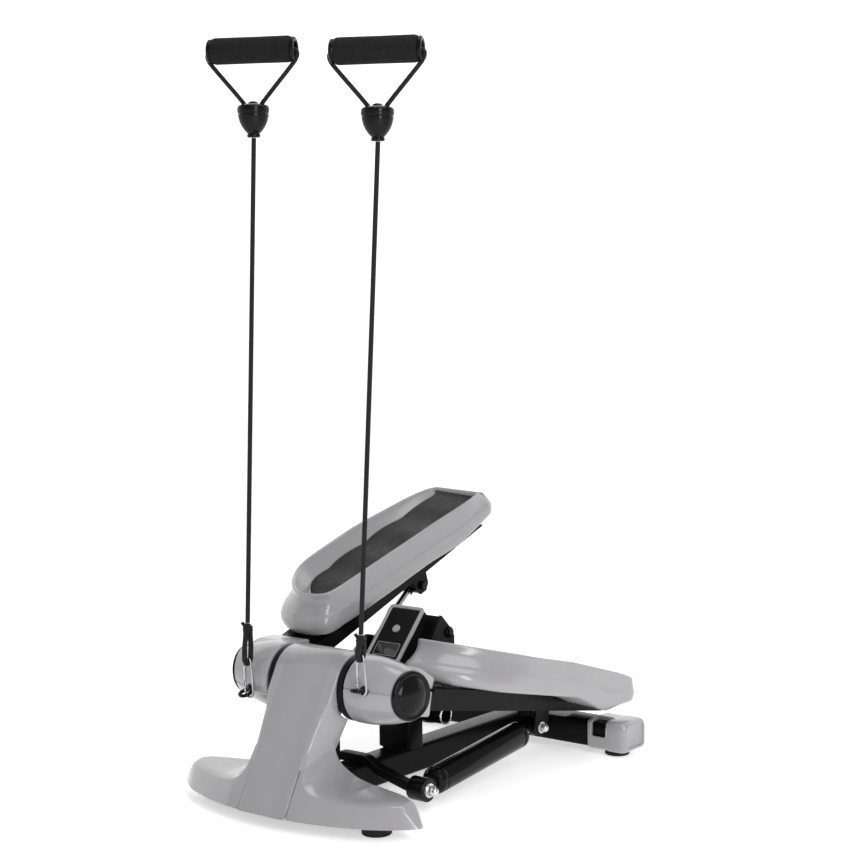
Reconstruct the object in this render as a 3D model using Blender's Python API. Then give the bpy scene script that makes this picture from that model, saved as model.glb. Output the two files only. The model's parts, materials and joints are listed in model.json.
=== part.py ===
"""A mini stepper with elastic hand cords: floor frame, two swinging pedals, two damping
cylinders, a small counter and two cords with foam grips.

Lengths below are millimetres and angles are degrees; every mesh is converted to metres when it
is made. +Z is up, the covers face -Y and the user stands at +Y. The origin is on the floor under
the middle of the machine. The left pedal is at the top of its stroke and the right one is down.
"""

import math

import bmesh
import bpy
from mathutils import Vector

MM = 0.001
GAP = 0.3

# Pedal pivot, seen from the side
AXIS_Y = -178.1
AXIS_Z = 167.0
PEDAL_UP = 20.4
PEDAL_DOWN = -11.2

# Steel frame
TUBE = 38.0
WALL = 2.0
FRAME_LOW = 9.0
FRAME_TOP = FRAME_LOW + TUBE
REAR_TUBE_Y = 444.0
REAR_TUBE_DEPTH = 48.0
REAR_TUBE_HALF = 172.0
AXLE_RADIUS = 8.0
RUNNING_GAP = 0.3

# Front covers
COVER_WALL = 3.0
COVER_LOW = 18.0
HOOD_RADIUS = 46.0
HOOD_HALF = 58.0
FACE_SLOPE = 1.842
FACE_FOOT_Y = -132.0

# Pivot housings on the pedals
DRUM_INNER_X = 60.0
DRUM_OUTER_X = 138.0
DRUM_INNER_RADIUS = 45.0
DRUM_OUTER_RADIUS = 33.5
DRUM_SKEW = 10.0
HUB_RADIUS = 16.0
HUB_INNER_X = 36.0
HUB_OUTER_X = 124.0

# Pedals, in the pedal's own frame: x, v along the pedal, h above the pivot
ARM_INNER_X = 80.0
ARM_OUTER_X = 130.0
ARM_BOTTOM = -21.0
TRAY_INNER_X = 57.0
TRAY_OUTER_X = 185.0
CLEVIS_V = 331.0
CLEVIS_H = -45.0

# Damping cylinders
LOWER_PIVOT_Y = 55.0
LOWER_PIVOT_Z = 28.0
CYLINDER_X = 113.0
BARREL_RADIUS = 19.0
BARREL_END = 232.0
ROD_RADIUS = 6.0
STUD_RADIUS = 6.0
BOLT_RADIUS = 4.0
EYE_CLEARANCE = 4.5

# Counter
COUNTER_Y = 112.0
COUNTER_Z = 176.0
COUNTER_TILT = 47.2
COUNTER_WIDTH = 60.0
COUNTER_LENGTH = 91.0

# Cords and handles
EYE_X = 100.0
EYE_V = -54.5
EYE_RING = 7.5
EYE_WIRE = 2.5
HOOK_WIRE = 1.9
CORD_SIDE = 7.3
CORD_RADIUS = 3.2
GRIP_RADIUS = 16.5
GRIP_BORE = 9.0
GRIP_LENGTH = 112.0
GRIP_YAW = 26.0
HANDLE_RISE = 114.0

# side, sign of x, pedal tilt, height of the cord's start over its eye, cord length, its lean back
SIDES = (
    ("left", -1.0, PEDAL_UP, 96.0, 643.0, 39.0),
    ("right", 1.0, PEDAL_DOWN, 74.0, 623.0, 57.0),
)


def clear_scene():
    for obj in list(bpy.data.objects):
        bpy.data.objects.remove(obj, do_unlink=True)


def make_material(name, color, roughness, metallic=0.0):
    material = bpy.data.materials.new(name)
    material.use_nodes = True
    shader = material.node_tree.nodes["Principled BSDF"]
    shader.inputs["Base Color"].default_value = (*color, 1.0)
    shader.inputs["Roughness"].default_value = roughness
    shader.inputs["Metallic"].default_value = metallic
    material.diffuse_color = (*color, 1.0)
    return material


def add_mesh(name, points, faces, material, parent=None, smooth=True):
    """One mesh object from points in millimetres, with its faces turned outwards."""
    mesh = bpy.data.meshes.new(name)
    mesh.from_pydata([Vector(p) * MM for p in points], [], faces)
    shape = bmesh.new()
    shape.from_mesh(mesh)
    bmesh.ops.recalc_face_normals(shape, faces=shape.faces)
    shape.to_mesh(mesh)
    shape.free()
    if smooth:
        mesh.shade_smooth()
        mesh.set_sharp_from_angle(angle=math.radians(35))
    obj = bpy.data.objects.new(name, mesh)
    bpy.context.scene.collection.objects.link(obj)
    mesh.materials.append(material)
    obj.parent = parent
    return obj


def add_empty(name, place, tilt=0.0, parent=None):
    """A helper frame at a place in millimetres, turned about X."""
    empty = bpy.data.objects.new(name, None)
    bpy.context.scene.collection.objects.link(empty)
    empty.location = Vector(place) * MM
    empty.rotation_euler = (math.radians(tilt), 0.0, 0.0)
    empty.parent = parent
    return empty


def loft(name, rings, material, parent=None):
    """A solid through rings of equal point counts, closed by a flat face at each end."""
    count = len(rings[0])
    points = [p for ring in rings for p in ring]
    faces = [list(range(count)), list(range(len(points) - count, len(points)))]
    for row in range(len(rings) - 1):
        for i in range(count):
            j = (i + 1) % count
            low = row * count
            faces.append([low + i, low + j, low + count + j, low + count + i])
    return add_mesh(name, points, faces, material, parent)


def prism(name, outline, low, high, place, material, parent=None):
    """An outline pushed from low to high; place(a, b, depth) turns outline points into space."""
    rings = [[place(a, b, depth) for a, b in outline] for depth in (low, high)]
    return loft(name, rings, material, parent)


def along_x(a, b, depth):
    return (depth, a, b)


def along_y(a, b, depth):
    return (a, depth, b)


def along_z(a, b, depth):
    return (a, b, depth)


def box(name, low, high, material, parent=None, bevel=0.0):
    outline = [(low[0], low[1]), (high[0], low[1]), (high[0], high[1]), (low[0], high[1])]
    obj = prism(name, outline, low[2], high[2], along_z, material, parent)
    if bevel:
        add_bevel(obj, bevel)
    return obj


def add_bevel(obj, width, segments=2):
    modifier = obj.modifiers.new("edges", "BEVEL")
    modifier.width = width * MM
    modifier.segments = segments
    modifier.limit_method = "ANGLE"
    modifier.angle_limit = math.radians(40)


def square_tube(name, low, high, axis, material):
    """A square tube with open ends, its run along the named axis."""
    a, b = [i for i in range(3) if i != axis]
    rings = []
    for end in (low[axis], high[axis]):
        for inset in (0.0, WALL):
            corners = (
                (low[a] + inset, low[b] + inset),
                (high[a] - inset, low[b] + inset),
                (high[a] - inset, high[b] - inset),
                (low[a] + inset, high[b] - inset),
            )
            ring = []
            for first, second in corners:
                point = [0.0, 0.0, 0.0]
                point[axis], point[a], point[b] = end, first, second
                ring.append(point)
            rings.append(ring)
    outer_low, inner_low, outer_high, inner_high = rings
    return closed_loft(name, [outer_low, outer_high, inner_high, inner_low], material)


def closed_loft(name, rings, material, parent=None):
    """A solid whose rings close on themselves, such as a tube or a torus."""
    count = len(rings[0])
    total = len(rings)
    points = [p for ring in rings for p in ring]
    faces = []
    for row in range(total):
        following = (row + 1) % total
        for i in range(count):
            j = (i + 1) % count
            faces.append([row * count + i, row * count + j, following * count + j, following * count + i])
    return add_mesh(name, points, faces, material, parent)


def turned(name, profile, place, material, parent=None, steps=24):
    """A solid of revolution. The profile's points are (radius, run), from axis to axis or closed.

    place(a, b, run) puts a point of the turning plane and its run in space.
    """
    on_axis = profile[0][0] == 0.0
    body = profile[1:-1] if on_axis else profile
    rings = []
    for radius, run in body:
        ring = []
        for step in range(steps):
            angle = 2.0 * math.pi * (step + 0.5) / steps
            ring.append(place(radius * math.cos(angle), radius * math.sin(angle), run))
        rings.append(ring)
    if not on_axis:
        return closed_loft(name, rings, material, parent)
    points = [p for ring in rings for p in ring]
    first = len(points)
    points.append(place(0.0, 0.0, profile[0][1]))
    points.append(place(0.0, 0.0, profile[-1][1]))
    last_row = first - steps
    faces = []
    for i in range(steps):
        j = (i + 1) % steps
        faces.append([first, j, i])
        faces.append([first + 1, last_row + i, last_row + j])
        for row in range(len(rings) - 1):
            low = row * steps
            faces.append([low + i, low + j, low + steps + j, low + steps + i])
    return add_mesh(name, points, faces, material, parent)


def rod(name, radius, low, high, place, material, parent=None, steps=24):
    profile = [(0.0, low), (radius, low), (radius, high), (0.0, high)]
    return turned(name, profile, place, material, parent, steps)


def round_about_x(y=0.0, z=0.0):
    return lambda a, b, run: (run, y + a, z + b)


def round_about_y(x=0.0, z=0.0):
    return lambda a, b, run: (x + a, run, z + b)


def round_about_z(x=0.0, y=0.0):
    return lambda a, b, run: (x + a, y + b, run)


def combine(obj, other, operation):
    modifier = obj.modifiers.new(other.name, "BOOLEAN")
    modifier.operation = operation
    modifier.solver = "EXACT"
    modifier.object = other
    other.hide_render = True
    other.display_type = "WIRE"


def cut(obj, *others):
    for other in others:
        combine(obj, other, "DIFFERENCE")


def weld(obj, *others):
    for other in others:
        combine(obj, other, "UNION")


def between(value, table):
    """Straight interpolation in a table of (position, value) pairs."""
    if value <= table[0][0]:
        return table[0][1]
    for (a, low), (b, high) in zip(table, table[1:]):
        if value <= b:
            return low + (high - low) * (value - a) / (b - a)
    return table[-1][1]


def wire_ring(centers, normal, radius, sides):
    """Rings of a round wire along a flat closed path whose plane has this normal."""
    normal = Vector(normal).normalized()
    count = len(centers)
    rings = []
    for i, center in enumerate(centers):
        along = (Vector(centers[(i + 1) % count]) - Vector(centers[i - 1])).normalized()
        across = along.cross(normal).normalized()
        ring = []
        for step in range(sides):
            angle = 2.0 * math.pi * step / sides
            ring.append(Vector(center) + radius * (math.cos(angle) * across + math.sin(angle) * normal))
        rings.append(ring)
    return rings


# ---------------------------------------------------------------- floor frame


def face_y(z):
    """The front of the middle cover at a height below the hood's tangent."""
    return FACE_FOOT_Y + (z - 20.0) / FACE_SLOPE


def make_floor_frame(base, steel, chrome, rubber, cap_plastic):
    half = TUBE / 2.0
    rear_front = REAR_TUBE_Y - REAR_TUBE_DEPTH / 2.0
    rear_back = REAR_TUBE_Y + REAR_TUBE_DEPTH / 2.0
    crossbar = square_tube("front_crossbar", (-160.0, -72.0, 12.0), (160.0, -48.0, 37.0), 0, steel)
    rail_low = (-half, -48.0 + GAP, FRAME_LOW)
    rail = square_tube("main_rail", rail_low, (half, rear_front - GAP, FRAME_TOP), 1, steel)
    rear_low = (-REAR_TUBE_HALF, rear_front, FRAME_LOW + 1.0)
    rear = square_tube("rear_tube", rear_low, (REAR_TUBE_HALF, rear_back, FRAME_TOP + 1.0), 0, steel)
    for obj in (crossbar, rail, rear):
        obj.parent = base
    make_upright(base, steel)
    make_post(base, steel)
    make_cylinder_bracket(base, steel)
    rod("pivot_axle", AXLE_RADIUS, -128.0, 128.0, round_about_x(0.0, AXIS_Z), chrome, base)
    for side, sign in (("left", -1.0), ("right", 1.0)):
        make_end_cap(side, sign, base, cap_plastic)
        make_foot("front_foot_" + side, sign * 134.0, -60.0, 19.5, 12.0 - GAP, base, rubber)
        make_foot("rear_foot_" + side, sign * 172.0, REAR_TUBE_Y, 18.0, 8.0 - GAP, base, rubber)
        make_lower_nut(side, sign, base, chrome)


def make_upright(base, steel):
    low = FRAME_TOP + GAP
    upright = box("front_upright", (-18.0, -24.0, low), (18.0, 5.0, 163.0), steel, base)
    head = rod("upright_head", 15.0, -34.0, 34.0, round_about_x(0.0, AXIS_Z), steel, base)
    weld(upright, head)
    hollow = box("upright_hollow", (-15.5, -21.5, low - 10.0), (15.5, 2.5, 148.0), steel, base)
    bore = rod("upright_bore", AXLE_RADIUS + RUNNING_GAP, -40.0, 40.0, round_about_x(0.0, AXIS_Z), steel, base)
    cut(upright, hollow, bore)


def make_post(base, steel):
    """The post that carries the counter, with the cross tube where the arms come down."""
    low = FRAME_TOP + GAP
    post = box("support_post", (-27.5, 138.0, low), (27.5, 172.0, 159.7), steel, base)
    tube = rod("stop_tube", 13.0, -57.0, 57.0, round_about_x(184.5, 93.0), steel, base)
    weld(post, tube)
    hollow = box("post_hollow", (-25.5, 140.0, low - 10.0), (25.5, 170.0, 170.0), steel, base)
    bore = rod("stop_bore", 10.5, -60.0, 60.0, round_about_x(184.5, 93.0), steel, base)
    cut(post, hollow, bore)


def make_cylinder_bracket(base, steel):
    """A bent bar over the rail, with a stud for each damping cylinder."""
    thickness = 12.0
    run = [(-100.0, 28.0), (-44.0, 42.0), (-24.0, 53.6), (24.0, 53.6), (44.0, 42.0), (100.0, 28.0)]
    upper = [(x, z + thickness / 2.0) for x, z in run]
    lower = [(x, z - thickness / 2.0) for x, z in reversed(run)]
    front = LOWER_PIVOT_Y - 8.0
    bracket = prism("cylinder_bracket", upper + lower, front, front + 16.0, along_y, steel, base)
    for name, sign in (("stud_left", -1.0), ("stud_right", 1.0)):
        ends = sorted((sign * 92.0, sign * 128.0))
        place = round_about_x(LOWER_PIVOT_Y, LOWER_PIVOT_Z)
        weld(bracket, rod(name, STUD_RADIUS, ends[0], ends[1], place, steel, base))


def make_lower_nut(side, sign, base, chrome):
    """Washer, nut and domed end on the stud of a damping cylinder."""
    profile = [(0.0, 128.3), (9.5, 128.3), (9.5, 130.3), (7.5, 130.3), (7.5, 136.0)]
    profile += [(5.5, 137.0), (5.0, 140.5), (3.0, 142.5), (0.0, 143.0)]
    place = round_about_x(LOWER_PIVOT_Y, LOWER_PIVOT_Z)
    mirrored = [(radius, sign * run) for radius, run in profile]
    turned("lower_nut_" + side, mirrored, place, chrome, base, steps=18)


def make_foot(name, x, y, radius, top, base, rubber):
    profile = [(0.0, 0.0), (radius - 1.5, 0.0), (radius, 1.5), (radius, top - 3.0)]
    profile += [(radius - 3.0, top), (0.0, top)]
    turned(name, profile, round_about_z(x, y), rubber, base)


def make_end_cap(side, sign, base, plastic):
    """A plastic shoe over the rear tube, with a window that shows the tube."""
    low_x, high_x = sorted((sign * 138.0, sign * 204.0))
    front, back = REAR_TUBE_Y - 30.0, REAR_TUBE_Y + 30.0
    low, high = 8.0, 53.0
    name = "rear_end_cap_" + side
    outline = [(front + 5.0, low), (back - 5.0, low), (back, low + 6.0), (back, high - 8.0)]
    outline += [(back - 8.0, high), (front + 8.0, high), (front, high - 8.0), (front, low + 6.0)]
    cap = prism(name, outline, low_x, high_x, along_x, plastic, base)
    inner_low, inner_high = sorted((sign * 132.0, sign * (REAR_TUBE_HALF + GAP)))
    half = REAR_TUBE_DEPTH / 2.0 + GAP
    socket_low = (inner_low, REAR_TUBE_Y - half, FRAME_LOW + 1.0 - GAP)
    socket_high = (inner_high, REAR_TUBE_Y + half, FRAME_TOP + 1.0 + GAP)
    socket = box(name + "_socket", socket_low, socket_high, plastic, base)
    window_x = sorted((sign * 146.0, sign * 170.0))
    window_low = (window_x[0], front - 5.0, 30.0)
    window_high = (window_x[1], front + 20.0, 60.0)
    window = box(name + "_window", window_low, window_high, plastic, base)
    cut(cap, socket, window)


# ---------------------------------------------------------------- front covers


def make_middle_cover(base, plastic):
    """The leaning column and the round hood over the pivot, open at the back."""
    widths = [(18.0, 40.7), (74.9, 40.7), (75.6, 45.0), (95.0, 46.0), (139.0, 50.0), (160.0, HOOD_HALF)]
    levels = [COVER_LOW, 45.0, 74.9, 75.6, 95.0, 112.0, 127.0, 133.0, 142.0, 152.0, 160.0, 175.0]
    levels += [189.0, 198.0, 205.0, 210.0, 212.4]
    rings = []
    for z in levels:
        half = between(z, widths)
        chord = math.sqrt(max(HOOD_RADIUS**2 - (z - AXIS_Z) ** 2, 0.0))
        front = face_y(z) if z < 189.0 else -chord
        back = chord if z >= 133.0 else -8.0 - (127.0 - z) * 0.62
        back = max(back, front + 40.0) if z < 100.0 else back
        rings.append(rounded_front(half, front, back, z))
    cover = loft("front_cover_middle", rings, plastic, base)
    inner_rings = []
    for z in (10.0, 74.5, 77.5, 95.0, 120.0, 141.0, 142.0, 165.0, 178.0):
        half = between(z - 1.0, widths) - COVER_WALL
        front = face_y(z) + COVER_WALL * 1.15
        inner_rings.append(rounded_front(half, front, 90.0 if z < 141.5 else 0.0, z))
    column_space = loft("column_space", inner_rings, plastic, base)
    inside = HOOD_HALF - COVER_WALL
    place = round_about_x(0.0, AXIS_Z)
    hood_space = rod("hood_space", HOOD_RADIUS - COVER_WALL, -inside, inside, place, plastic, base, steps=40)
    hub_hole = rod("hub_hole", 27.0, -70.0, 70.0, place, plastic, base, steps=32)
    crossbar_slot = box("crossbar_slot", (-60.0, -74.0, 8.0), (60.0, -20.0, 38.5), plastic, base)
    cut(cover, column_space, hood_space, hub_hole, crossbar_slot)


def rounded_front(half, front, back, z):
    """A level of the column: square at the back, with its front corners rounded."""
    corner = min(9.0, (back - front) / 3.0)
    outline = [(-half, back, z)]
    for step in range(4):
        angle = math.radians(30.0 * step)
        x = -half + corner * (1.0 - math.cos(angle))
        outline.append((x, front + corner * (1.0 - math.sin(angle)), z))
    outline += [(-x, y, z) for x, y, z in reversed(outline)]
    return outline


WING_STATIONS = (
    # x, foot of the face, crease y, crease z, rear top z, rear y
    (41.3, -131.0, -105.0, 68.0, 74.0, -35.0),
    (48.0, -130.4, -105.5, 63.0, 71.0, -34.0),
    (58.0, -129.0, -106.0, 56.0, 63.0, -31.0),
    (75.0, -126.5, -105.5, 50.0, 56.0, -27.0),
    (98.0, -121.0, -103.0, 46.0, 52.0, -24.0),
    (130.0, -112.0, -95.0, 45.0, 50.0, -27.0),
    (160.0, -99.0, -83.0, 45.5, 50.0, -35.0),
    (180.0, -86.0, -72.0, 46.5, 50.0, -43.0),
    (188.0, -80.0, -69.0, 41.0, 43.0, -46.0),
    (197.0, -71.0, -66.0, 29.0, 30.0, -49.0),
    (204.0, -62.0, -61.0, 20.0, 20.5, -53.0),
)


def make_wing(side, sign, base, plastic):
    """A low side cover, swept back and open underneath."""
    name = "front_cover_" + side
    rings = []
    space = []
    for x, foot, crease_y, crease_z, top, rear in WING_STATIONS:
        shoulder = crease_y + 9.0
        outline = [(foot, COVER_LOW), (crease_y - 1.0, crease_z - 3.0), (crease_y + 2.0, crease_z)]
        outline += [(shoulder, crease_z + 1.0), (rear - 5.0, top), (rear, top - 4.0), (rear, COVER_LOW)]
        if x > 190.0:
            outline[3:5] = [(crease_y + 3.0, crease_z + 0.2), (rear - 3.0, top)]
            outline[5] = (rear, top - 1.0)
        rings.append([(sign * x, y, z) for y, z in outline])
        if x < 185.0:
            inner = 36.0 if x < 45.0 else x
            low = COVER_LOW - 8.0
            pocket = [(foot + 4.0, low), (crease_y + 3.5, crease_z - 5.0)]
            pocket += [(rear - 5.0, top - 6.0), (rear - COVER_WALL, low)]
            space.append([(sign * inner, y, z) for y, z in pocket])
    wing = loft(name, rings, plastic, base)
    cut(wing, loft(name + "_space", space, plastic, base))


# ---------------------------------------------------------------- balance cable in the column


def make_balance(base, steel, black):
    """The pulley in the column and the cable that ties the two pedals' cranks together."""
    groove = [(6.0, -51.0), (28.0, -51.0), (28.0, -49.0), (24.5, -47.0), (24.5, -43.0)]
    groove += [(28.0, -41.0), (28.0, -39.0), (6.0, -39.0)]
    turned("balance_pulley", groove, round_about_y(0.0, 92.0), black, base, steps=28)
    stud = rod("pulley_stud", 5.6, -53.0, -10.0, round_about_y(0.0, 92.0), steel, base)
    weld(bpy.data.objects["front_upright"], stud)
    left_tip = crank_tip(PEDAL_UP)
    radius = 26.5
    route = [(28.0, -46.0, 138.5), (27.2, -44.4, 112.0)]
    for step in range(13):
        angle = math.pi * step / 12.0
        route.append((radius * math.cos(angle), -45.0, 92.0 - radius * math.sin(angle)))
    route += [(-27.2, -41.0, 108.0), (-28.0, left_tip[0], left_tip[1] - 6.5)]
    make_cord("balance_cable", route, 1.5, steel, base)


def crank_tip(tilt):
    angle = math.radians(tilt + 35.0)
    return (-46.0 * math.cos(angle), AXIS_Z - 46.0 * math.sin(angle))


def make_cord(name, route, radius, material, parent, resolution=2):
    """A round cord as a bevelled curve through its route."""
    curve = bpy.data.curves.new(name, "CURVE")
    curve.dimensions = "3D"
    curve.bevel_depth = radius * MM
    curve.bevel_resolution = resolution
    curve.use_fill_caps = True
    spline = curve.splines.new("POLY")
    spline.points.add(len(route) - 1)
    for point, place in zip(spline.points, route):
        point.co = (*(Vector(place) * MM), 1.0)
    obj = bpy.data.objects.new(name, curve)
    bpy.context.scene.collection.objects.link(obj)
    curve.materials.append(material)
    obj.parent = parent
    return obj


# ---------------------------------------------------------------- pedals


def arm_top(v):
    table = [(10.0, 8.0), (110.0, 8.0), (150.0, 7.0), (232.0, 5.0), (300.0, 3.0), (335.0, 1.0), (378.0, -4.5)]
    return between(v, table + [(430.0, -8.0), (470.0, -13.0), (481.0, -19.0)])


def across_tray(x, inner, outer):
    share = (x - TRAY_INNER_X) / (TRAY_OUTER_X - TRAY_INNER_X)
    return inner + (outer - inner) * min(max(share, 0.0), 1.0)


def tray_rim(x, v):
    """Height of the pedal's rim, a little higher along its inner side."""
    inner = [(68.0, 70.0), (117.0, 67.5), (176.0, 63.5), (264.0, 57.5), (363.0, 51.0), (439.0, 44.5), (490.0, 37.0)]
    outer = [(100.0, 67.0), (150.0, 62.5), (190.0, 60.5), (245.0, 57.5), (305.0, 54.5), (354.0, 49.5)]
    outer += [(378.0, 47.0), (428.0, 42.0), (460.0, 38.0), (490.0, 33.0)]
    return across_tray(x, between(v, inner), between(v, outer))


def tray_bottom(x, v):
    """Height of the pedal's underside, which drops behind the arm's bend along the outer side."""
    front = [(68.0, 15.0), (110.0, 12.5), (150.0, 10.0)]
    inner = front + [(243.0, 4.5), (317.0, 1.5), (367.0, -4.0), (392.0, -7.0), (420.0, -5.0), (490.0, 2.0)]
    outer = front + [(232.0, 8.0), (328.0, 5.0), (362.0, -3.0), (393.0, -12.5), (414.0, -14.5)]
    outer += [(446.0, -7.0), (495.0, 1.0)]
    return across_tray(x, between(v, inner), between(v, outer))


def tray_floor(v):
    """Height of the recess under the mat, a flat slope."""
    return 42.0 - 0.045 * (v - 110.0)


def make_arm(side, sign, frame, steel):
    """The pedal's steel arm: hub tube, balance crank, front plate and an open-bottomed channel."""
    name = "pedal_arm_" + side
    stations = [14.0, 110.0, 150.0, 232.0, 300.0, 335.0, 378.0, 430.0, 470.0, 481.0]
    outline = [(v, arm_top(v)) for v in stations] + [(481.0, ARM_BOTTOM), (14.0, ARM_BOTTOM)]
    ends = sorted((sign * ARM_INNER_X, sign * ARM_OUTER_X))
    arm = prism(name, outline, ends[0], ends[1], along_x, steel, frame)
    hub_ends = sorted((sign * HUB_INNER_X, sign * HUB_OUTER_X))
    hub = rod(name + "_hub", HUB_RADIUS, hub_ends[0], hub_ends[1], round_about_x(), steel, frame)
    plate_x = sorted((sign * 69.0, sign * 143.0))
    plate = box(name + "_plate", (plate_x[0], 50.0, 5.0), (plate_x[1], 98.0, 8.8), steel, frame)
    crank_x = sorted((sign * 37.0, sign * 42.0))
    tip = (-46.0 * math.cos(math.radians(35.0)), -46.0 * math.sin(math.radians(35.0)))
    crank_outline = [(-8.0, 10.0), (8.0, -8.0), (tip[0] + 4.0, tip[1] - 5.0), (tip[0] - 5.0, tip[1] + 4.0)]
    crank = prism(name + "_crank", crank_outline, crank_x[0], crank_x[1], along_x, steel, frame)
    pin_x = sorted((sign * 23.0, sign * 41.0))
    pin = rod(name + "_pin", 5.0, pin_x[0], pin_x[1], round_about_x(*tip), steel, frame, steps=16)
    weld(arm, hub, plate, crank, pin)
    inner = [(v, arm_top(v) - 3.0) for v in (60.0, 110.0, 150.0, 232.0, 300.0, 335.0, 378.0, 430.0, 462.0)]
    inner += [(462.0, ARM_BOTTOM - 8.0), (60.0, ARM_BOTTOM - 8.0)]
    inner_x = sorted((sign * (ARM_INNER_X + 3.0), sign * (ARM_OUTER_X - 3.0)))
    channel = prism(name + "_channel", inner, inner_x[0], inner_x[1], along_x, steel, frame)
    bore = rod(name + "_bore", AXLE_RADIUS + RUNNING_GAP, -135.0, 135.0, round_about_x(), steel, frame)
    cut(arm, channel, bore)


def make_drum(side, sign, frame, plastic, black):
    """Two half shells round the hub, a collar over the arm and a domed end cap."""
    for half, turn in (("upper", 0.0), ("lower", 180.0)):
        rings = []
        stations = [(0.0, 0.0), (0.35, 0.06), (0.7, 0.45), (1.0, 1.0)]
        for run, taper in stations:
            radius = DRUM_INNER_RADIUS + (DRUM_OUTER_RADIUS - DRUM_INNER_RADIUS) * taper
            rings.append(half_ring(sign, run, radius, turn))
        name = f"pivot_shell_{half}_{side}"
        shell = loft(name, rings, plastic, frame)
        weld(shell, make_collar(name, sign, half, plastic, frame))
        cut(shell, make_drum_space(name, sign, plastic, frame), make_arm_space(name, sign, plastic, frame))
    profile = [(0.0, 0.0), (DRUM_OUTER_RADIUS - 1.0, 0.0), (DRUM_OUTER_RADIUS, 1.5)]
    profile += [(DRUM_OUTER_RADIUS - 0.5, 7.0), (29.0, 10.0), (27.5, 8.8), (26.0, 8.8)]
    profile += [(24.5, 11.5), (16.0, 14.5), (0.0, 16.0)]
    turned("pivot_cap_" + side, profile, skewed_place(sign, GAP), black, frame, steps=36)


def skewed_place(sign, offset):
    """Puts a turned piece on the housing's outer end, which faces a little forward."""
    skew = math.radians(DRUM_SKEW)

    def place(a, b, run):
        depth = run + offset
        x = DRUM_OUTER_X + depth * math.cos(skew) + a * math.sin(skew)
        return (sign * x, a * math.cos(skew) - depth * math.sin(skew), b)

    return place


def half_ring(sign, run, radius, turn):
    """Half a circle of the housing at a share of its length; the far end is the skewed one."""
    skew = math.radians(DRUM_SKEW) * run
    ring = []
    for step in range(17):
        angle = math.radians(turn + 180.0 * step / 16.0)
        a, b = radius * math.cos(angle), radius * math.sin(angle)
        if step in (0, 16):
            b = GAP / 2.0 if turn == 0.0 else -GAP / 2.0
        x = DRUM_INNER_X + (DRUM_OUTER_X - DRUM_INNER_X) * run + a * math.sin(skew)
        ring.append((sign * x, a * math.cos(skew), b))
    return ring


def make_collar(name, sign, half, plastic, frame):
    """The sleeve that runs back from the housing over the pedal's arm."""
    if half == "upper":
        outline = [(0.0, GAP / 2.0), (56.0, GAP / 2.0), (56.0, 15.0), (60.0, 22.0), (30.0, 33.5), (0.0, 38.0)]
    else:
        outline = [(0.0, -GAP / 2.0), (0.0, -34.0), (34.0, -28.5), (56.0, -28.0), (56.0, -GAP / 2.0)]
    ends = sorted((sign * 71.0, sign * 135.0))
    return prism(name + "_collar", outline, ends[0], ends[1], along_x, plastic, frame)


def make_drum_space(name, sign, plastic, frame):
    inner = DRUM_INNER_X + COVER_WALL
    outer = DRUM_OUTER_X - 8.0
    profile = [(0.0, inner), (DRUM_INNER_RADIUS - COVER_WALL - 1.0, inner)]
    profile += [(DRUM_OUTER_RADIUS - COVER_WALL, outer), (0.0, outer)]
    mirrored = [(radius, sign * run) for radius, run in profile]
    space = turned(name + "_space", mirrored, round_about_x(), plastic, frame, steps=28)
    hub_ends = sorted((sign * 55.0, sign * (inner + 5.0)))
    mouth = rod(name + "_mouth", HUB_RADIUS + 1.5, hub_ends[0], hub_ends[1], round_about_x(), plastic, frame)
    weld(space, mouth)
    return space


def make_arm_space(name, sign, plastic, frame):
    """Room for the arm and its front plate inside the collar."""
    arm_x = sorted((sign * (ARM_INNER_X - GAP), sign * (ARM_OUTER_X + GAP)))
    low = (arm_x[0], -5.0, ARM_BOTTOM - GAP)
    space = box(name + "_arm_space", low, (arm_x[1], 70.0, 8.8 + GAP), plastic, frame)
    plate_x = sorted((sign * 60.0, sign * 150.0))
    plate_low = (plate_x[0], 48.0, 5.0 - GAP)
    plate = box(name + "_plate_space", plate_low, (plate_x[1], 70.0, 8.8 + GAP), plastic, frame)
    weld(space, plate)
    return space


TRAY_PAIRS = (
    # the rim from above: inner x and v, outer x and v, from the toe to the heel
    (80.0, 98.5, 96.0, 98.0),
    (69.0, 102.0, 112.0, 100.5),
    (61.5, 109.0, 128.0, 109.0),
    (58.0, 121.0, 143.0, 121.5),
    (57.0, 140.0, 157.0, 138.0),
    (57.0, 157.0, 168.0, 155.0),
    (57.0, 175.0, 177.0, 173.0),
    (57.0, 197.0, 183.0, 195.0),
    (57.0, 225.0, 186.0, 225.0),
    (57.0, 260.0, 186.5, 260.0),
    (57.0, 300.0, 187.0, 300.0),
    (57.0, 340.0, 187.0, 340.0),
    (57.0, 380.0, 185.0, 380.0),
    (57.0, 415.0, 183.0, 412.0),
    (57.0, 442.0, 181.5, 440.0),
    (57.0, 464.0, 180.0, 464.0),
    (58.0, 479.0, 178.0, 482.0),
    (62.0, 487.0, 171.0, 494.0),
    (71.0, 490.0, 152.0, 497.5),
)


def tray_outline(inner_grow, outer_grow, toe_grow):
    """The rim's outline grown outwards: by side, and by the toe's bulge."""
    loop = [Vector((x, v)) for x, v, _, _ in TRAY_PAIRS]
    loop += [Vector((x, v)) for _, _, x, v in reversed(TRAY_PAIRS)]
    grown = []
    for i, point in enumerate(loop):
        along = (loop[(i + 1) % len(loop)] - loop[i - 1]).normalized()
        normal = Vector((-along.y, along.x))
        share = min(max((normal.x + 0.3) / 0.6, 0.0), 1.0)
        amount = inner_grow + (outer_grow - inner_grow) * share
        near_toe = min(max((215.0 - point.y) / 90.0, 0.0), 1.0)
        near_toe = near_toe * near_toe * (3.0 - 2.0 * near_toe)
        facing = min(max(0.35 * normal.x - 0.94 * normal.y, 0.0), 0.94)
        grown.append(point + normal * (amount + toe_grow * near_toe * facing))
    return grown


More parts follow.
